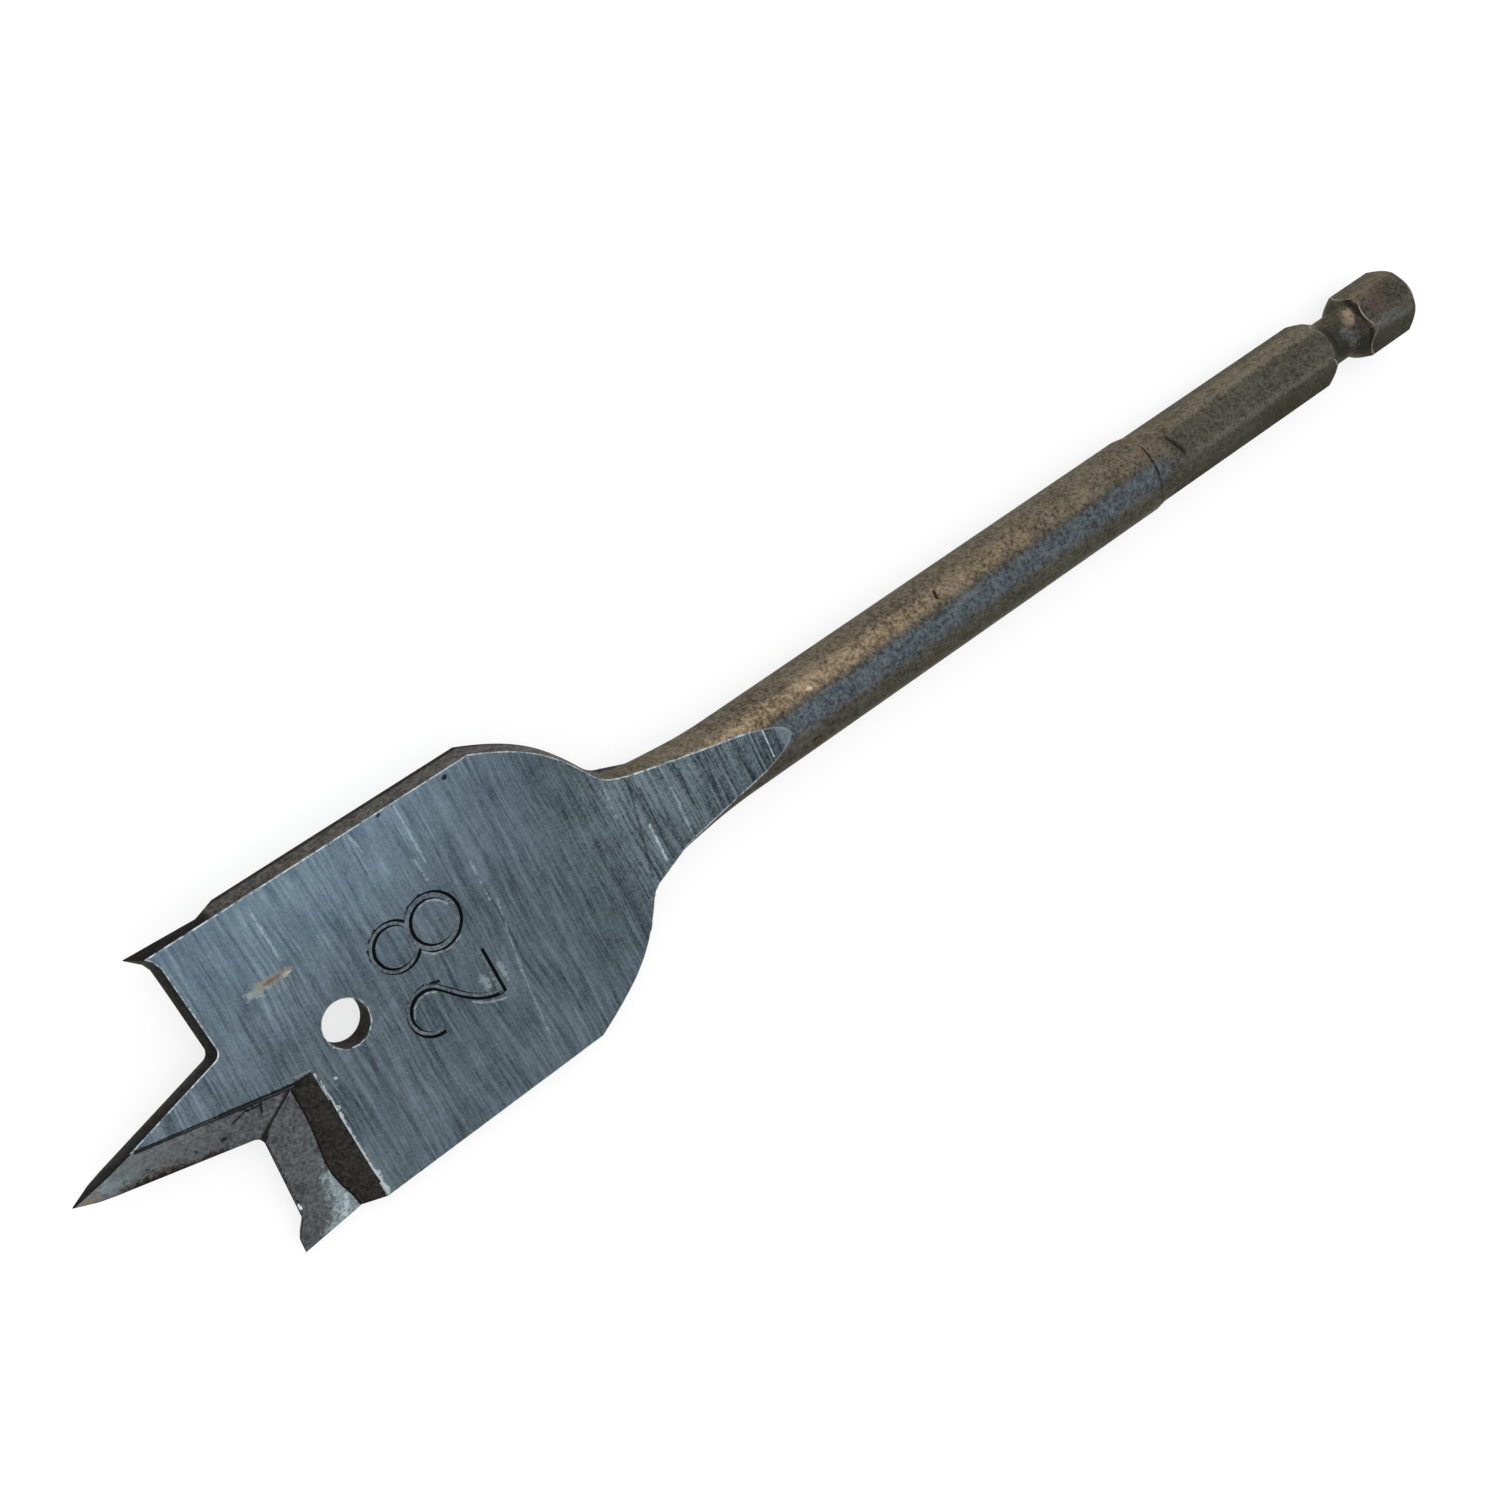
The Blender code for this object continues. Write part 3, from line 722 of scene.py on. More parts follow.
def scaled(tree, place, size):
    node = add(tree, "ShaderNodeVectorMath", operation="SCALE")
    connect(tree, node.inputs[0], place)
    connect(tree, node.inputs["Scale"], size)
    return node.outputs[0]


def split(tree, place):
    return feed(tree, add(tree, "ShaderNodeSeparateXYZ"), Vector=place).outputs


def mapped(tree, value, low, high, to_low=0.0, to_high=1.0, smooth=True):
    node = add(tree, "ShaderNodeMapRange", clamp=not smooth)
    node.interpolation_type = "SMOOTHSTEP" if smooth else "LINEAR"
    feed(tree, node, Value=value, From_Min=low, From_Max=high, To_Min=to_low, To_Max=to_high)
    return node.outputs["Result"]


def noise(tree, place, scale, detail=2.0, rough=0.5, stretch=None):
    if stretch:
        mapping = add(tree, "ShaderNodeMapping")
        feed(tree, mapping, Vector=place, Scale=stretch)
        place = mapping.outputs["Vector"]
    node = add(tree, "ShaderNodeTexNoise")
    feed(tree, node, Vector=place, Scale=scale, Detail=detail, Roughness=rough)
    return node.outputs["Fac"]


def tint(tree, factor, first, second):
    node = add(tree, "ShaderNodeMix", data_type="RGBA")
    for socket, value in ((node.inputs[0], factor), (node.inputs[6], first), (node.inputs[7], second)):
        connect(tree, socket, value)
    return node.outputs[2]


def new_group(name, places, numbers, outputs):
    """A shared effect. Its places are in millimetres on the bit."""
    group = bpy.data.node_groups.new(name, "ShaderNodeTree")
    for place in places:
        group.interface.new_socket(place, in_out="INPUT", socket_type="NodeSocketVector")
    for number, value in numbers.items():
        socket = group.interface.new_socket(number, in_out="INPUT", socket_type="NodeSocketFloat")
        socket.default_value = value
    for output in outputs:
        group.interface.new_socket(output, in_out="OUTPUT", socket_type="NodeSocketFloat")
    return group, add(group, "NodeGroupInput").outputs, add(group, "NodeGroupOutput")


def grinding_group():
    """Fine lines across the bit, as a grinding belt leaves them."""
    numbers = {"Fineness": 1.0, "Shortness": 1.0, "Scratches": 1.0}
    group, given, out = new_group("grinding_lines", ["Place"], numbers, ["Tone", "Height"])
    place = given["Place"]
    x, y, z = split(group, place)
    sway = weighed(group, noise(group, place, 0.09, 1.0), 1.4, -0.7)
    x_line = multiply(group, arithmetic(group, "ADD", x, sway), given["Fineness"])
    merged = add(group, "ShaderNodeCombineXYZ")
    feed(group, merged, X=x_line, Y=multiply(group, y, given["Shortness"]), Z=z)
    lines = merged.outputs[0]
    hair = noise(group, lines, 1.0, 3.0, 0.6, (4.8, 0.30, 0.3))
    fine = noise(group, lines, 1.0, 3.0, 0.6, (2.3, 0.09, 0.15))
    broad = noise(group, lines, 1.0, 2.0, 0.5, (0.8, 0.07, 0.1))
    drift = noise(group, place, 0.16, 2.0, 0.5)
    sparse = noise(group, lines, 1.0, 2.0, 0.5, (4.2, 0.13, 0.2))
    light = multiply(group, mapped(group, sparse, 0.60, 0.74), given["Scratches"])
    dark = multiply(group, mapped(group, sparse, 0.36, 0.27), given["Scratches"])
    tone = multiply(group, hair, 0.40)
    for part, weight in ((fine, 0.32), (broad, 0.13), (drift, 0.15)):
        tone = weighed(group, part, weight, tone)
    tone = mapped(group, tone, 0.385, 0.615, smooth=False)
    tone = weighed(group, light, 0.45, tone)
    tone = weighed(group, dark, -0.2, tone, clamp=True)
    height = weighed(group, light, -0.5, weighed(group, hair, 0.6, fine))
    feed(group, out, Tone=tone, Height=height)
    return group


def grain_group():
    """Fine mottling without a direction: scale, dust and small pits."""
    numbers = {"Size": 1.0, "Pits": 1.0}
    group, given, out = new_group("steel_grain", ["Place"], numbers, ["Tone", "Height"])
    spot = scaled(group, given["Place"], given["Size"])
    small = noise(group, spot, 2.7, 3.0, 0.65)
    middle = noise(group, spot, 1.2, 3.0, 0.6)
    large = noise(group, spot, 0.25, 2.0, 0.5)
    cells = add(group, "ShaderNodeTexVoronoi")
    feed(group, cells, Vector=spot, Scale=1.1)
    pits = mapped(group, cells.outputs["Distance"], 0.2, 0.07)
    pits = multiply(group, pits, mapped(group, middle, 0.55, 0.61))
    pits = multiply(group, pits, given["Pits"])
    tone = weighed(group, middle, 0.3, multiply(group, small, 0.55))
    tone = mapped(group, weighed(group, large, 0.15, tone), 0.4, 0.6, smooth=False)
    tone = weighed(group, pits, -0.8, tone, clamp=True)
    height = weighed(group, pits, -1.0, weighed(group, middle, 1.2, small))
    feed(group, out, Tone=tone, Height=height)
    return group


def mark_group():
    """A stroke from one place to another: 1 along its middle, 0 beyond its half width."""
    numbers = {"Width": 0.2, "Ragged": 0.3, "Core": 0.5, "Wander": 0.0}
    group, given, out = new_group("mark", ["Place", "Start", "End"], numbers, ["Mask"])
    reach = between(group, "SUBTRACT", given["End"], given["Start"])
    away = between(group, "SUBTRACT", given["Place"], given["Start"])
    covered = between(group, "DOT_PRODUCT", away, reach, "Value")
    whole = between(group, "DOT_PRODUCT", reach, reach, "Value")
    share = arithmetic(group, "MAXIMUM", arithmetic(group, "DIVIDE", covered, whole), 0.0)
    share = arithmetic(group, "MINIMUM", share, 1.0)
    apart = between(group, "DISTANCE", away, scaled(group, reach, share), "Value")
    ratio = arithmetic(group, "DIVIDE", multiply(group, apart, 2.0), given["Width"])
    ratio = weighed(group, given["Wander"], given["Ragged"], ratio)
    feed(group, out, Mask=mapped(group, ratio, 1.0, given["Core"]))
    return group


# How a mark looks: its width in millimetres, colour, strength, how ragged its sides are, and how
# much of its half width is full
Look = namedtuple("Look", ("width", "colour", "strength", "ragged", "core"), defaults=(0.3, 0.5))


class Finish:
    """A steel finish: its material, its shader, and the place on the bit in millimetres."""

    def __init__(self, name, effects, **shader):
        self.lines, self.grain, self.marks = effects
        self.material = bpy.data.materials.new(name)
        self.material.use_nodes = True
        self.tree = self.material.node_tree
        self.shader = feed(self.tree, self.tree.nodes["Principled BSDF"], **shader)
        where = add(self.tree, "ShaderNodeTexCoord")
        laid = add(self.tree, "ShaderNodeMapping", vector_type="TEXTURE")
        feed(self.tree, laid, Vector=where.outputs["Object"], Location=REST_PLACE)
        feed(self.tree, laid, Rotation=(REST_ROLL, 0, 0), Scale=(MM, MM, MM))
        self.place = laid.outputs["Vector"]
        self.x, self.y, self.z = split(self.tree, self.place)
        self.wander = None
        self.base = None

    def effect(self, group, **values):
        node = add(self.tree, "ShaderNodeGroup", node_tree=group)
        return feed(self.tree, node, Place=self.place, **values).outputs

    def from_axis(self):
        """How far a place is from the bit's axis."""
        square = weighed(self.tree, self.z, self.z, multiply(self.tree, self.y, self.y))
        return arithmetic(self.tree, "SQRT", square)

    def across(self, value, low, high, to_low=0.0, to_high=1.0):
        return mapped(self.tree, value, low, high, to_low, to_high)

    def product(self, first, *others):
        for other in others:
            first = multiply(self.tree, first, other)
        return first

    def cover(self, mask, colour, strength):
        """Lays a colour over the finish where the mask says."""
        self.base = tint(self.tree, self.product(mask, strength), self.base, colour)

    def mark(self, start, end, width, colour, strength, ragged=0.3, core=0.5):
        """Lays a colour along a stroke between two places."""
        if self.wander is None:
            self.wander = weighed(self.tree, noise(self.tree, self.place, 2.6, 3.0, 0.65), 6.0, -3.0)
        near = self.effect(
            self.marks, Start=start, End=end, Width=width, Ragged=ragged, Core=core, Wander=self.wander
        )
        self.cover(near["Mask"], colour, strength)

    def strokes(self, surface, look, *rows):
        """Marks of one look on a surface. A row is a start, an end and, if it differs, a width."""
        for x, y, to_x, to_y, *width in rows:
            changed = look._replace(width=width[0]) if width else look
            self.mark(surface(x, y), surface(to_x, to_y), *changed)

    def arc(self, centre, radius, first, last, look):
        """A stroke along an arc of the upper face, between two angles in degrees."""
        steps = round((last - first) / 30)
        angles = [math.radians(first + (last - first) * i / steps) for i in range(steps + 1)]
        places = [(centre + radius * direction(angle)) / MM for angle in angles]
        for here, there in zip(places, places[1:]):
            self.strokes(face_place, look, (here.x, here.y, there.x, there.y))

    def done(self, tone, rough, smooth, height=None, depth=0.0, strength=0.5):
        """Joins up the shader: rough where the tone is dark, smoother where it is light."""
        feed(self.tree, self.shader, Base_Color=self.base)
        feed(self.tree, self.shader, Roughness=mapped(self.tree, tone, 0, 1, rough, smooth, False))
        if height is not None:
            bump = add(self.tree, "ShaderNodeBump")
            feed(self.tree, bump, Height=height, Distance=depth, Strength=strength)
            feed(self.tree, self.shader, Normal=bump.outputs["Normal"])
        return self.material


# The bit's finishes, with painted light and shade among them: a pair of colours is the dark and the light of
# a mottling

BLACK = (0.004, 0.004, 0.004)
NEAR_BLACK_BROWN = (0.016, 0.011, 0.007)
PALE_STEEL = (0.42, 0.50, 0.54)
GROUND = ((0.020, 0.031, 0.038), (0.140, 0.184, 0.216))
GROUND_PAINTED_REFLECTION = ((0.072, 0.120, 0.165), (0.205, 0.288, 0.355))
TANG_FURROWS = ((0.011, 0.017, 0.022), (0.140, 0.180, 0.205))
RECESS = ((0.038, 0.040, 0.043), (0.120, 0.130, 0.139))
RECESS_TIP = (0.150, 0.170, 0.182)
SCUFFED = ((0.125, 0.165, 0.180), (0.33, 0.40, 0.42))
EDGE_SCALE = ((0.036, 0.034, 0.030), (0.120, 0.113, 0.100))
EDGE_SOOT = (0.004, 0.004, 0.003)
RAMP_SCALE = ((0.012, 0.0108, 0.0095), (0.046, 0.0425, 0.036))
OXIDE = ((0.036, 0.033, 0.026), (0.108, 0.100, 0.080))
UPPER_SIDE_PAINTED_LIGHT = ((0.058, 0.048, 0.032), (0.185, 0.158, 0.115))
HEX_UPPER_PAINTED_LIGHT = ((0.062, 0.051, 0.033), (0.195, 0.163, 0.107))
BRONZE_TINT_AND_PAINTED_HIGHLIGHT = ((0.075, 0.056, 0.036), (0.32, 0.245, 0.160))
BLUE_PAINTED_REFLECTION = ((0.030, 0.040, 0.048), (0.125, 0.150, 0.172))
OXIDE_SHADED = (0.014, 0.0135, 0.011)
OXIDE_PAINTED_SHADE_BELOW = (0.012, 0.012, 0.009)
NARROW_SHANK_DARKER = (0.024, 0.022, 0.020)
TANG_END = (0.32, 0.375, 0.385)
STAMPED_WALL = ((0.0008, 0.0008, 0.0010), (0.003, 0.003, 0.004))
STAMPED_FLOOR = ((0.065, 0.082, 0.096), (0.165, 0.200, 0.228))
# Bevel strips: worn edges, with a painted highlight on them
BRIGHT_EDGE = ((0.08, 0.10, 0.115), (0.48, 0.53, 0.55))
OXIDE_EDGE_AND_HIGHLIGHT = ((0.060, 0.055, 0.045), (0.185, 0.172, 0.143))


def face_place(x, y):
    """A place on the upper ground face, or on the tang's ramp."""
    climb = max(x - TANG_RAMP_START / MM, 0) * (SHAFT_RADIUS - HALF_THICKNESS)
    return (x, y, (HALF_THICKNESS + climb / (TANG_RAMP_END - TANG_RAMP_START) * MM) / MM)


def facet_place(x, y):
    """A place on the facet along the centre point, or on the tip's bevel in front of it."""
    down = Vector((-math.sin(FACET_TURN), -math.cos(FACET_TURN)))
    depth = (Vector((x, y)) - FACET_START / MM).dot(down) * math.tan(FACET_SLOPE)
    bevel = TIP_LAND / MM + x * math.tan(TIP_BEVEL_SLOPE)
    return (x, y, min(HALF_THICKNESS / MM - depth, bevel))


def pocket_place(x, y):
    """A place on the floor of the lower wing's pocket."""
    foot_x = (LIP_FRONT + LOWER_POCKET_LENGTH - POCKET_RAMP_LENGTH) / MM
    slope = (POCKET_FOOT_DEPTH - POCKET_LIP_DEPTH) / (LOWER_POCKET_LENGTH - POCKET_RAMP_LENGTH)
    return (x, y, (HALF_THICKNESS - POCKET_FOOT_DEPTH) / MM + (foot_x - x) * slope)


def shaft_place(x, turn, radius=SHAFT_RADIUS / MM):
    """A place on the round shaft, turned in degrees from straight up towards the upper wing."""
    angle = math.radians(turn)
    return (x, radius * math.sin(angle), radius * math.cos(angle))


def ridge_place(x, turn):
    """A place on the shank's hexagon, beside a ridge that is turned like the places above."""
    return shaft_place(x, turn, 3.5)


def ground_face(effects):
    """Ground blue-grey steel of the faces, with a painted reflection that makes them lighter and a little
    bluer towards the upper spur.
    """
    steel = Finish("ground_face", effects, Metallic=0.9)
    tree = steel.tree
    line = steel.effect(steel.lines)
    speck = steel.effect(steel.grain, Size=1.7, Pits=0.4)
    tone = weighed(tree, speck["Tone"], 0.32, multiply(tree, line["Tone"], 0.68))
    steel.base = tint(tree, tone, *GROUND)
    # Painted reflection: lighter and bluer towards the upper spur and the tip
    upper = steel.product(steel.across(steel.y, 0.0, 13.0), steel.across(steel.x, 62.0, 24.0))
    steel.cover(upper, tint(tree, tone, *GROUND_PAINTED_REFLECTION), 0.60)
    tang = steel.across(steel.x, 43.0, 55.0)
    furrow = steel.effect(steel.lines, Fineness=1.7, Shortness=0.8)
    furrow = weighed(tree, speck["Tone"], 0.3, multiply(tree, furrow["Tone"], 0.7))
    furrow = mapped(tree, furrow, 0.25, 0.75, smooth=False)
    steel.cover(tang, tint(tree, furrow, *TANG_FURROWS), 0.85)
    add_face_scratches(steel)
    add_face_stains(steel)
    outside = steel.across(steel.from_axis(), 3.73, 3.79)
    steel.cover(steel.product(outside, steel.across(steel.x, 61.0, 66.0)), TANG_END, 0.35)
    add_number_marks(steel)
    return steel.done(line["Tone"], 0.50, 0.36, line["Height"], 0.02 * MM)


def add_face_scratches(steel):
    """Scratches and burrs on the upper face, each where the photo has it."""
    # A dark line along the facet's edge, widening into painted shade at the pocket corner
    edge = Look(0.34, BLACK, 0.95, 0.2)
    steel.strokes(
        face_place, edge, (5.9, 1.38, 12.5, -0.1, 0.20), (12.5, -0.1, 18.3, -1.42), (18.3, -1.45, 20.0, -1.55)
    )
    scratch = Look(0.3, (0.27, 0.34, 0.38), 0.6, 0.7, 0.0)
    fainter = scratch._replace(strength=0.4)
    steel.strokes(face_place, scratch, (35.7, 8.3, 35.8, 6.3), (39.6, 5.7, 39.5, 2.0))
    steel.strokes(face_place, fainter, (40.0, 1.6, 38.9, -4.6), (38.9, -4.6, 38.3, -10.7))
    steel.strokes(face_place, scratch, (36.4, 12.9, 36.4, 7.6), (32.1, 12.9, 32.4, 11.2))
    steel.strokes(face_place, scratch, (22.5, 11.9, 22.6, 7.6), (57.6, 1.3, 57.4, -2.8))
    steel.strokes(face_place, Look(0.2, PALE_STEEL, 0.85, 0.4, 0.1), (66.8, 1.4, 66.7, -1.1))
    steel.strokes(face_place, scratch, (52.5, 4.2, 52.3, 1.4))
    steel.strokes(face_place, Look(0.3, PALE_STEEL, 0.7, 0.5, 0.0), (54.5, -0.5, 54.4, -3.9))
    furrow = Look(0.42, (0.018, 0.023, 0.030), 0.7, 0.3, 0.0)
    steel.strokes(face_place, furrow, (54.6, 3.8, 52.7, -4.5), (55.2, 2.7, 55.0, -2.9))
    steel.strokes(face_place, furrow, (58.9, 2.4, 58.7, 0.2), (61.4, 2.6, 61.0, -1.2))
    steel.strokes(face_place, Look(0.2, (0.02, 0.03, 0.04), 0.6, 0.4), (20.6, -3.6, 20.7, -9.2))
    burr = Look(0.26, (0.42, 0.48, 0.48), 0.8, 0.7)
    steel.strokes(face_place, burr, (20.34, -2.6, 20.34, -13.7), (20.36, -5.1, 20.36, -5.9, 0.46))
    steel.strokes(face_place, burr, (20.42, -11.6, 20.40, -13.6, 0.5))
    steel.strokes(face_place, Look(0.22, (0.20, 0.215, 0.20), 0.6), (18.9, -1.10, 20.2, -1.28))
    steel.strokes(face_place, Look(0.32, PALE_STEEL, 0.8), (21.5, -3.05, 21.6, -3.1))


def add_face_stains(steel):
    """The rusty smear beside the upper lip, and two dark pits at the upper side."""
    steel.strokes(face_place, Look(1.3, (0.27, 0.30, 0.29), 0.75, 0.6, 0.0), (19.3, 6.5, 20.6, 6.5))
    steel.strokes(face_place, Look(1.15, (0.20, 0.185, 0.145), 0.9, 0.5, 0.0), (20.0, 6.7, 22.6, 6.5))
    steel.strokes(face_place, Look(0.55, (0.105, 0.075, 0.045), 0.8, 0.5, 0.0), (20.7, 6.6, 21.9, 6.6))
    steel.strokes(face_place, Look(0.5, (0.36, 0.34, 0.29), 0.7, 0.5, 0.0), (22.0, 6.35, 22.8, 6.4))
    steel.strokes(face_place, Look(0.5, BLACK, 0.95, 0.2), (41.1, 12.65, 41.2, 12.7))
    steel.strokes(face_place, Look(0.34, BLACK, 0.9, 0.2), (34.9, 13.0, 35.0, 13.05))
    ragged = Look(0.3, BLACK, 0.95, 0.7)
    steel.strokes(face_place, ragged, (29.5, -1.45, 29.9, -1.15), (30.4, -1.0, 31.2, -0.9))
    steel.strokes(face_place, ragged, (31.5, -1.0, 32.5, -1.35), (30.1, 5.3, 29.2, 4.7))
    steel.strokes(face_place, ragged, (28.75, 4.1, 28.65, 3.3))


def add_number_marks(steel):
    """Bright and dark lines beside the hole and the strokes of the number."""
    rim = Look(0.26, (0.34, 0.40, 0.42), 0.7, 0.5, 0.0)
    # Faint light lines: painted highlights on the raised rims beside the strokes
    faint = Look(0.24, (0.29, 0.335, 0.34), 0.65, 0.6, 0.0)
    shade = Look(0.24, BLACK, 0.9, 0.25, 0.2)
    steel.arc(HOLE_CENTRE, HOLE_RADIUS + 0.08 * MM, -150, 30, rim)
    eight = Vector((NUMBER_BASE_X - EIGHT_LARGE_RADIUS, EIGHT_CENTRE_Y))
    two = Vector((NUMBER_BASE_X - NUMBER_HEIGHT + TWO_HEAD_RADIUS, TWO_RIGHT_Y - TWO_WIDTH / 2))
    steel.arc(eight, EIGHT_LARGE_RADIUS + 0.40 * MM, 90, 150, shade)
    steel.arc(eight, EIGHT_LARGE_RADIUS + 0.40 * MM, 225, 285, shade)
    steel.arc(eight, EIGHT_LARGE_RADIUS + 0.50 * MM, 210, 300, faint)
    steel.arc(eight, EIGHT_LARGE_RADIUS - 0.42 * MM, 20, 110, faint)
    steel.arc(two, TWO_HEAD_RADIUS - 0.38 * MM, 50, 165, faint)
    steel.strokes(face_place, faint, (34.0, -4.4, 35.0, -5.2), (35.0, -5.2, 36.6, -5.85))
    speckled = Look(0.6, (0.27, 0.33, 0.345), 0.6, 1.0, 0.0)
    steel.strokes(face_place, speckled, (35.7, -3.1, 35.8, -4.2), (37.5, -3.1, 37.6, -4.5))


def forged_recess(effects):
    """Speckled grey of the pocket's floor and the centre point's facet."""
    steel = Finish("forged_recess", effects, Metallic=0.75)
    speck = steel.effect(steel.grain, Size=1.3, Pits=1.0)
    steel.base = tint(steel.tree, speck["Tone"], *RECESS)
    steel.cover(steel.across(steel.x, 13.0, 4.0), RECESS_TIP, 0.40)
    steel.strokes(facet_place, Look(1.5, (0.20, 0.25, 0.28), 0.65, 0.6, 0.0), (2.6, 0.15, 4.4, -0.6))
    steel.strokes(facet_place, Look(0.9, (0.175, 0.155, 0.105), 0.7, 0.3, 0.0), (0.0, 0.0, 2.0, -0.1))
    steel.strokes(facet_place, Look(1.9, (0.050, 0.036, 0.020), 0.95, 0.5, 0.2), (4.0, -1.1, 8.0, -2.1))
    steel.strokes(facet_place, Look(1.2, BLACK, 0.95, 0.6, 0.3), (4.7, -1.35, 6.6, -1.8))
    steel.strokes(facet_place, Look(0.9, BLACK, 0.9, 0.6, 0.3), (6.9, -1.95, 8.2, -2.25))
    steel.strokes(facet_place, Look(0.95, NEAR_BLACK_BROWN, 0.95, 0.5, 0.3), (8.0, -2.15, 11.6, -3.1))
    steel.strokes(facet_place, Look(0.42, BLACK, 0.9, 0.2), (11.8, -2.05, 12.0, -2.1))
    steel.strokes(facet_place, Look(0.22, BLACK, 0.8, 0.2), (9.6, -1.55, 9.7, -1.75))
    steel.strokes(facet_place, Look(0.3, BLACK, 0.7, 0.3), (5.9, -0.5, 6.0, -0.6))
    # Dark line along the facet's top edge, widening into painted shade at the pocket corner, and painted
    # shadow along the crease down to the notch
    line = Look(0.24, BLACK, 0.97, 0.15)
    steel.strokes(facet_place, line, (5.9, 1.3, 12.5, -0.19, 0.46), (12.5, -0.19, 18.3, -1.5, 0.68))
    steel.strokes(facet_place, line, (18.2, -1.66, 14.45, -4.08, 0.78), (14.3, -1.05, 15.7, -1.36, 0.22))
    steel.strokes(facet_place, line, (14.4, -0.8, 14.5, -1.25), (14.9, -0.8, 15.0, -1.25))
    steel.strokes(facet_place, line, (15.6, -1.2, 15.4, -1.9, 0.32), (14.1, -1.1, 13.0, -1.35, 0.2))
    scuffed = tint(steel.tree, speck["Tone"], *SCUFFED)
    steel.strokes(pocket_place, Look(3.2, scuffed, 0.9, 0.4, 0.1), (17.6, -10.4, 17.2, -13.6))
    steel.strokes(pocket_place, Look(1.6, scuffed, 0.85, 0.6, 0.1), (17.0, -13.2, 15.0, -13.8))
    steel.strokes(pocket_place, Look(0.6, PALE_STEEL, 0.75, 0.9, 0.2), (17.6, -12.3, 16.9, -13.3))
    steel.strokes(pocket_place, Look(0.16, BLACK, 0.8, 0.5), (14.5, -4.6, 14.35, -7.0))
    steel.strokes(pocket_place, Look(0.26, BLACK, 0.9, 0.9), (14.35, -7.0, 14.1, -10.4))
    steel.strokes(pocket_place, Look(0.34, (0.75, 0.78, 0.75), 0.9, 0.3), (14.1, -10.35, 14.1, -10.7))
    return steel.done(speck["Tone"], 0.55, 0.42, speck["Height"], 0.05 * MM)


def blade_edge(effects):
    """Scale on the blade's narrow walls: black around the point and spurs, brown-grey behind."""
    steel = Finish("blade_edge", effects, Metallic=0.5, Specular_IOR_Level=0.05)
    speck = steel.effect(steel.grain, Size=1.1, Pits=1.0)
    steel.base = tint(steel.tree, speck["Tone"], *EDGE_SCALE)
    steel.cover(steel.across(steel.x, 20.2, 19.4), EDGE_SOOT, 0.93)
    far_edge = steel.product(steel.across(steel.z, -0.55, -0.85), steel.across(steel.y, 2.0, 4.0))
    steel.cover(far_edge, BLACK, 0.9)
    return steel.done(speck["Tone"], 0.7, 0.5, speck["Height"], 0.06 * MM)


def pocket_ramp(effects):
    """Brown-black scale on the pocket's ramp and in the hole."""
    steel = Finish("pocket_ramp", effects, Metallic=0.25, Specular_IOR_Level=0.05)
    speck = steel.effect(steel.grain, Size=1.4, Pits=0.5)
    steel.base = tint(steel.tree, speck["Tone"], *RAMP_SCALE)
    return steel.done(speck["Tone"], 0.75, 0.6, speck["Height"], 0.05 * MM)


def oxide(effects):
    """Brown-black oxide of the shaft and shank, bronze with a painted highlight and a painted blue reflection
    along the shaft's upper side, painted light above and painted shade below.
    """
    shader = {"Metallic": 0.8, "Specular_IOR_Level": 0.35, "Specular_Tint": (0.62, 0.60, 0.53)}
    steel = Finish("oxide", effects, **shader)
    tree = steel.tree
    speck = steel.effect(steel.grain, Size=1.15, Pits=0.5)
    tone = speck["Tone"]
    steel.base = tint(tree, tone, *OXIDE)
    turn = arithmetic(tree, "ARCTAN2", steel.y, steel.z)
    ragged = noise(tree, steel.place, 0.9, 4.0, 0.7)
    turn = arithmetic(tree, "ADD", turn, weighed(tree, ragged, 0.36, -0.18))
    degrees = multiply(tree, turn, 180 / math.pi)
    before_hex = steel.across(steel.x, 119.0, 112.5)
    # Painted light: the upper side, towards the window lamp, lighter and browner, and so are the hexagon's
    # upper flats
    upper = steel.product(steel.across(degrees, 44, 60), steel.across(degrees, 98, 82))
    steel.cover(upper, tint(tree, tone, *UPPER_SIDE_PAINTED_LIGHT), 0.92)
    on_hex = steel.product(steel.across(steel.x, 112.5, 119.0), steel.across(steel.x, 140.0, 136.5, 0.5))
    steel.cover(steel.product(upper, on_hex), tint(tree, tone, *HEX_UPPER_PAINTED_LIGHT), 0.75)
    # Bronze tint along the shaft's upper side, with a painted highlight in it, fading towards the shank
    fading = steel.across(steel.x, 72.0, 112.0, 1.0, 0.42)
    bronze = steel.product(steel.across(degrees, 20, 34), steel.across(degrees, 62, 44))
    bronze = steel.product(bronze, before_hex, fading)
    steel.cover(bronze, tint(tree, tone, *BRONZE_TINT_AND_PAINTED_HIGHLIGHT), 0.95)
    # Painted reflection: a blue-grey stripe along the top of the shaft
    blue = steel.product(steel.across(degrees, -22, -4), steel.across(degrees, 24, 12), before_hex)
    steel.cover(blue, tint(tree, tone, *BLUE_PAINTED_REFLECTION), 0.85)
    # Painted shade on the underside of the shaft and shank
    shaded = steel.product(steel.across(degrees, -14, -50), steel.across(degrees, -150, -100))
    steel.cover(shaded, OXIDE_SHADED, 0.5)
    add_shaft_marks(steel)
    # Darker where the shank is turned down: in the locking groove and towards its end
    sunk = steel.product(steel.across(steel.from_axis(), 3.35, 2.9), steel.across(steel.x, 137.5, 138.5))
    steel.cover(sunk, NARROW_SHANK_DARKER, 0.62)
    # More painted shade below the hexagon's middle, growing along the hexagon
    lower = steel.product(steel.across(degrees, -3, -16), steel.across(degrees, -150, -100))
    lower = steel.product(lower, steel.across(steel.x, 110.0, 134.0))
    steel.cover(lower, OXIDE_PAINTED_SHADE_BELOW, 0.5)
    add_shank_marks(steel)
    return steel.done(tone, 0.54, 0.40, speck["Height"], 0.05 * MM, 0.6)


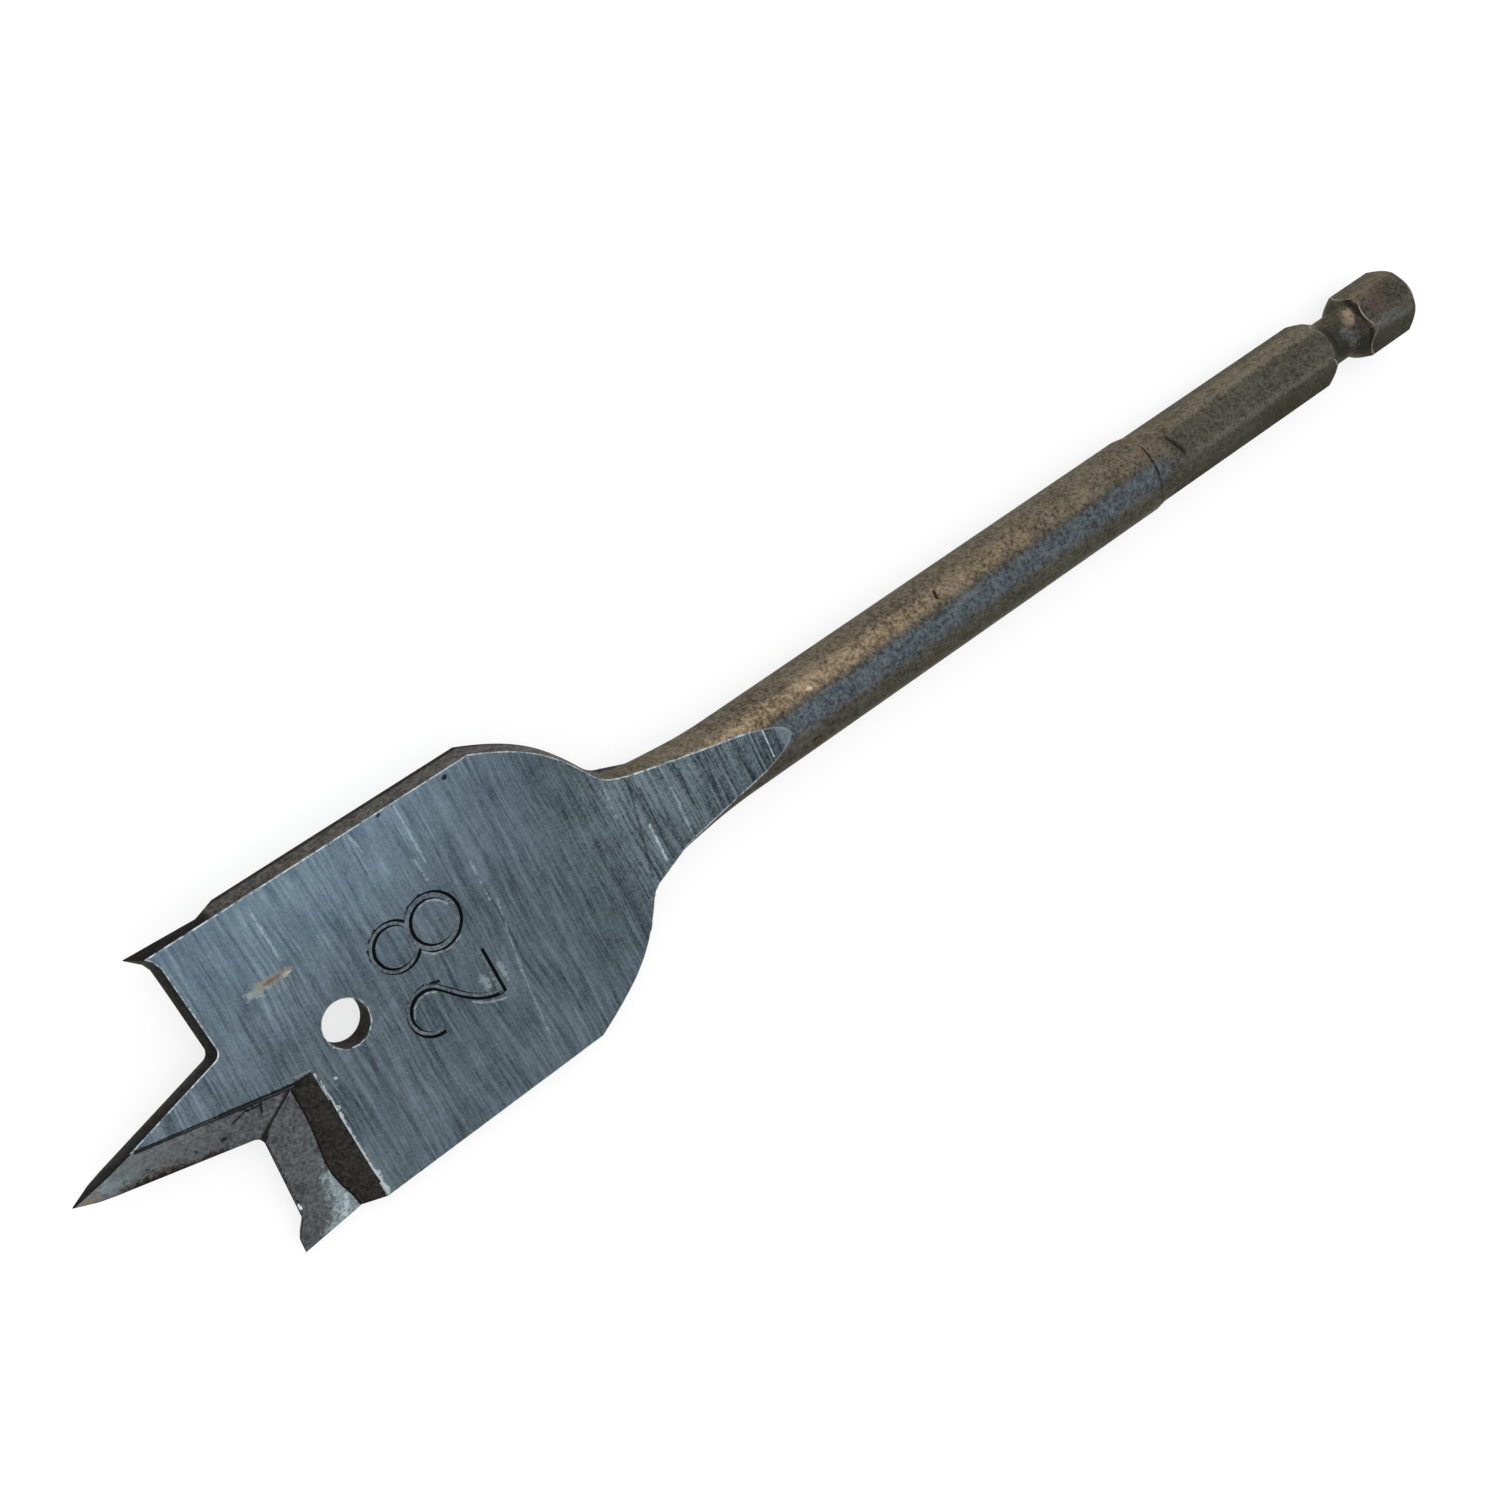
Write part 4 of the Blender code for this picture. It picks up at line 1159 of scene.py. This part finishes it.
def add_shaft_marks(steel):
    """Nicks on the shaft, and the turned ring and the painted shadow where the hexagon starts."""
    steel.strokes(shaft_place, Look(0.4, NEAR_BLACK_BROWN, 0.95, 0.2), (88.0, 46, 87.75, 36))
    steel.strokes(shaft_place, Look(0.5, (0.55, 0.47, 0.32), 0.8, 0.5), (72.5, 33, 72.7, 32))
    ring = Look(0.5, NEAR_BLACK_BROWN, 0.85, 0.3, 0.2)
    steel.strokes(shaft_place, ring, (114.6, 50, 114.4, 23))
    steel.strokes(shaft_place, ring._replace(strength=0.95), (114.4, 23, 114.3, 2))
    steel.strokes(shaft_place, ring._replace(strength=0.5), (114.3, 2, 114.1, -24))
    # Painted shadow where the hexagon's flats start
    steel.mark((117.6, 2.2, 2.5), (118.0, 1.2, 2.9), 0.75, NEAR_BLACK_BROWN, 0.8, 0.3, 0.2)
    steel.mark((118.0, 1.2, 2.9), (118.2, 0.3, 3.3), 0.8, NEAR_BLACK_BROWN, 0.85, 0.3, 0.2)
    steel.mark((116.4, 2.2, 3.0), (116.8, 1.0, 3.4), 1.7, (0.16, 0.135, 0.09), 0.6, 0.5, 0.1)


def add_shank_marks(steel):
    """Painted sheen and highlight in the locking groove, painted shadow along its rear edge, and painted
    highlights along the hexagon's ridges.
    """
    # Painted highlight in the locking groove, and a painted grey reflection beside it
    steel.mark((143.6, 2.1, 1.5), (142.9, 0.9, 2.2), 1.9, (0.150, 0.125, 0.090), 0.55, 0.4, 0.0)
    steel.mark((143.9, 2.1, 1.6), (143.5, 1.4, 2.0), 1.6, (0.29, 0.22, 0.14), 0.75, 0.4, 0.0)
    steel.mark((142.3, 0.9, 2.2), (143.0, -0.8, 2.3), 1.5, (0.135, 0.145, 0.145), 0.6, 0.6, 0.0)
    # Painted shadow along the groove's rear edge, under the hexagon's scalloped end
    steel.mark((144.75, 3.0, 1.1), (144.6, 1.7, 2.6), 1.2, NEAR_BLACK_BROWN, 0.97, 0.2, 0.3)
    steel.mark((144.6, 1.7, 2.6), (144.7, -0.4, 3.2), 0.8, NEAR_BLACK_BROWN, 0.95, 0.2, 0.2)
    steel.mark((144.7, -0.4, 3.2), (144.6, -2.0, 2.5), 0.8, NEAR_BLACK_BROWN, 0.95, 0.2, 0.2)
    # Painted highlights along the hexagon's ridges
    ridge = Look(0.9, (0.165, 0.155, 0.128), 0.6, 0.8, 0.0)
    steel.strokes(ridge_place, ridge, (119.0, 54.5, 138.5, 54.5))
    steel.strokes(ridge_place, ridge._replace(strength=0.45), (120.0, -5.5, 138.5, -5.5))
    steel.mark((146.6, 1.6, 2.8), (148.2, 2.4, 2.4), 2.2, (0.10, 0.062, 0.048), 0.55, 0.4, 0.0)
    # Painted highlight along the end's lower ridge
    steel.mark((145.4, -0.1, 3.5), (149.8, -0.8, 3.3), 1.7, (0.125, 0.138, 0.142), 0.55, 0.5, 0.0)


def narrow_finish(effects, name, colours, size, rough, smooth, **shader):
    """A finish for thin lines of wear with a painted highlight, and for the number: mottled, and without
    relief.
    """
    steel = Finish(name, effects, **shader)
    speck = steel.effect(steel.grain, Size=size, Pits=0.0)
    steel.base = tint(steel.tree, speck["Tone"], *colours)
    return steel.done(speck["Tone"], rough, smooth)


def worn_and_highlit_edge(effects, name, colours, metallic):
    return narrow_finish(effects, name, colours, 0.9, 0.45, 0.3, Metallic=metallic)


def stamped(effects, name, colours, metallic):
    shader = {"Metallic": metallic, "Specular_IOR_Level": 0.05}
    return narrow_finish(effects, name, colours, 1.4, 0.7, 0.5, **shader)


# Edges, and the bit as a whole


def in_number(place):
    low_x, high_x, low_y, high_y = NUMBER_BOX
    return place.z > 0 and low_x < place.x < high_x and low_y < place.y < high_y


def in_groove(place):
    radius = math.hypot(place.y, place.z)
    return abs(place.x - GROOVE_CENTRE) < 2 * GROOVE_FLOOR_LENGTH and radius < GROOVE_RADIUS + 0.2 * MM


def soften_edges(bit, edge_slot):
    """Breaks the sharp edges by a hair, and gives the new narrow faces their own finish."""
    bm = bmesh.new()
    bm.from_mesh(bit.data)
    weight = bm.edges.layers.float.new("bevel_weight_edge")
    for edge in bm.edges:
        middle = (edge.verts[0].co + edge.verts[1].co) / 2
        sharp = edge.is_manifold and edge.calc_face_angle() > EDGE_ANGLE
        long_enough = edge.calc_length() > SHORTEST_EDGE
        kept_sharp = middle.x < TIP_LEFT_SHARP or in_number(middle) or in_groove(middle)
        if sharp and long_enough and not kept_sharp:
            edge[weight] = 1.0
    bm.to_mesh(bit.data)
    bm.free()
    bevel = bit.modifiers.new("broken_edges", "BEVEL")
    bevel.width = EDGE_WIDTH
    bevel.segments = 2
    bevel.limit_method = "WEIGHT"
    bevel.use_clamp_overlap = False
    bevel.miter_outer = "MITER_ARC"
    bevel.material = edge_slot
    finish_modifier(bit, bevel)


def share_out_edges(bit, bright, pale, dark):
    """Bright only along the ground faces, pale on the shank, dark on the lips and recesses."""
    for face in bit.data.polygons:
        if face.material_index != bright:
            continue
        outwards = face.center.y * (1 if face.center.z > 0 else -1)
        inner_end = abs(outwards + POCKET_INNER_Y) < 2 * EDGE_WIDTH and face.center.x > POINT_LENGTH
        if face.center.x > TANG_RAMP_END:
            face.material_index = pale
        elif inner_end or abs(face.center.z) < HALF_THICKNESS - EDGE_WIDTH * 1.5:
            face.material_index = dark


def make_bit():
    effects = (grinding_group(), grain_group(), mark_group())
    ground = ground_face(effects)
    wall = blade_edge(effects)
    forged = forged_recess(effects)
    ramp = pocket_ramp(effects)
    brown = oxide(effects)
    grime = stamped(effects, "stamped_wall", STAMPED_WALL, 0.0)
    sunk = stamped(effects, "stamped_floor", STAMPED_FLOOR, 0.7)
    bright = worn_and_highlit_edge(effects, "bright_edge", BRIGHT_EDGE, 0.9)
    pale = worn_and_highlit_edge(effects, "oxide_edge_and_highlight", OXIDE_EDGE_AND_HIGHLIGHT, 0.8)

    rings = [blade_outline(z) for z in (-BLANK_HALF_THICKNESS, BLANK_HALF_THICKNESS)]
    bit = loft("drill_bit", rings, wall)
    cut(bit, shaft_blank(brown), "UNION")
    for tool, coat in ((face_grinding, ground), (tip_bevel, forged), (point_facet, forged)):
        cut(bit, tool(coat))
        cut(bit, turned_over(tool(coat)))
    cut(bit, rake_pocket(LOWER_POCKET_LENGTH, forged, ramp))
    cut(bit, turned_over(rake_pocket(UPPER_POCKET_LENGTH, forged, ramp)))
    cut(bit, shank_blank(brown), "UNION")
    cut(bit, hanging_hole(ramp))
    for bar in size_number((sunk, grime)):
        cut(bit, bar)
    bit.data.materials.append(bright)
    bit.data.materials.append(pale)
    slots = [bit.data.materials.find(name) for name in ("bright_edge", "oxide_edge_and_highlight", "blade_edge")]
    soften_edges(bit, slots[0])
    share_out_edges(bit, *slots)
    select_only(bit)
    bpy.ops.object.shade_smooth_by_angle(angle=SMOOTH_ANGLE)
    return bit


def lay_down(bit):
    """Rolls the finished bit onto the floor and applies its place."""
    select_only(bit)
    bit.rotation_euler.x = REST_ROLL
    bit.location = REST_PLACE
    bpy.ops.object.transform_apply()


# The scene around it


def seen_or_mirrored(tree):
    """1 for what the camera sees, straight or in metal, and 0 for light that only falls."""
    rays = add(tree, "ShaderNodeLightPath").outputs
    seen = arithmetic(tree, "MAXIMUM", rays["Is Camera Ray"], rays["Is Glossy Ray"])
    return arithmetic(tree, "MAXIMUM", seen, rays["Is Transmission Ray"])


def make_stage(low):
    """A pale floor that looks white to the camera and keeps the bit's shadow."""
    bpy.ops.object.select_all(action="DESELECT")
    bpy.ops.mesh.primitive_plane_add(size=FLOOR_SIZE, location=(0, 0, low))
    floor = bpy.context.object
    floor.name = "floor"
    bpy.ops.object.transform_apply()
    material = bpy.data.materials.new("pale_floor")
    material.use_nodes = True
    tree = material.node_tree
    shader = tree.nodes["Principled BSDF"]
    feed(tree, shader, Base_Color=FLOOR_COLOUR, Roughness=1.0, Specular_IOR_Level=0.0)
    glow = feed(tree, add(tree, "ShaderNodeEmission"), Strength=FLOOR_GLOW)
    both = add(tree, "ShaderNodeAddShader")
    tree.links.new(shader.outputs[0], both.inputs[0])
    tree.links.new(glow.outputs[0], both.inputs[1])
    choice = add(tree, "ShaderNodeMixShader")
    tree.links.new(seen_or_mirrored(tree), choice.inputs[0])
    tree.links.new(shader.outputs[0], choice.inputs[1])
    tree.links.new(both.outputs[0], choice.inputs[2])
    tree.links.new(choice.outputs[0], tree.nodes["Material Output"].inputs["Surface"])
    floor.data.materials.append(material)


def soft_light(name, place, size, power):
    light = bpy.data.lights.new(name, "AREA")
    light.size = size
    light.energy = power
    lamp = bpy.data.objects.new(name, light)
    bpy.context.scene.collection.objects.link(lamp)
    lamp.location = place
    lamp.rotation_euler = (-Vector(place)).to_track_quat("-Z", "Y").to_euler()


def make_lights():
    world = bpy.data.worlds.new("studio")
    bpy.context.scene.world = world
    world.use_nodes = True
    tree = world.node_tree
    strength = mapped(tree, seen_or_mirrored(tree), 0, 1, ROOM_LIGHT, 1.0, smooth=False)
    feed(tree, tree.nodes["Background"], Color=(1, 1, 1), Strength=strength)
    soft_light("ceiling", *CEILING_LAMP)
    soft_light("window", *WINDOW_LAMP)


def make_camera():
    data = bpy.data.cameras.new("camera")
    data.lens = CAMERA_LENS
    data.sensor_width = CAMERA_SENSOR
    data.clip_start = CAMERA_NEAREST
    camera = bpy.data.objects.new("camera", data)
    bpy.context.scene.collection.objects.link(camera)
    camera.location = CAMERA_PLACE
    camera.rotation_euler = CAMERA_TURN
    bpy.context.scene.camera = camera


def main():
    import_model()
    bit = make_bit()
    lay_down(bit)
    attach(bit, "root")
    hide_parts("spade_bit")
    make_stage(min((bit.matrix_world @ v.co).z for v in bit.data.vertices))
    make_lights()
    make_camera()
    bpy.context.scene.view_settings.view_transform = "Standard"


main()
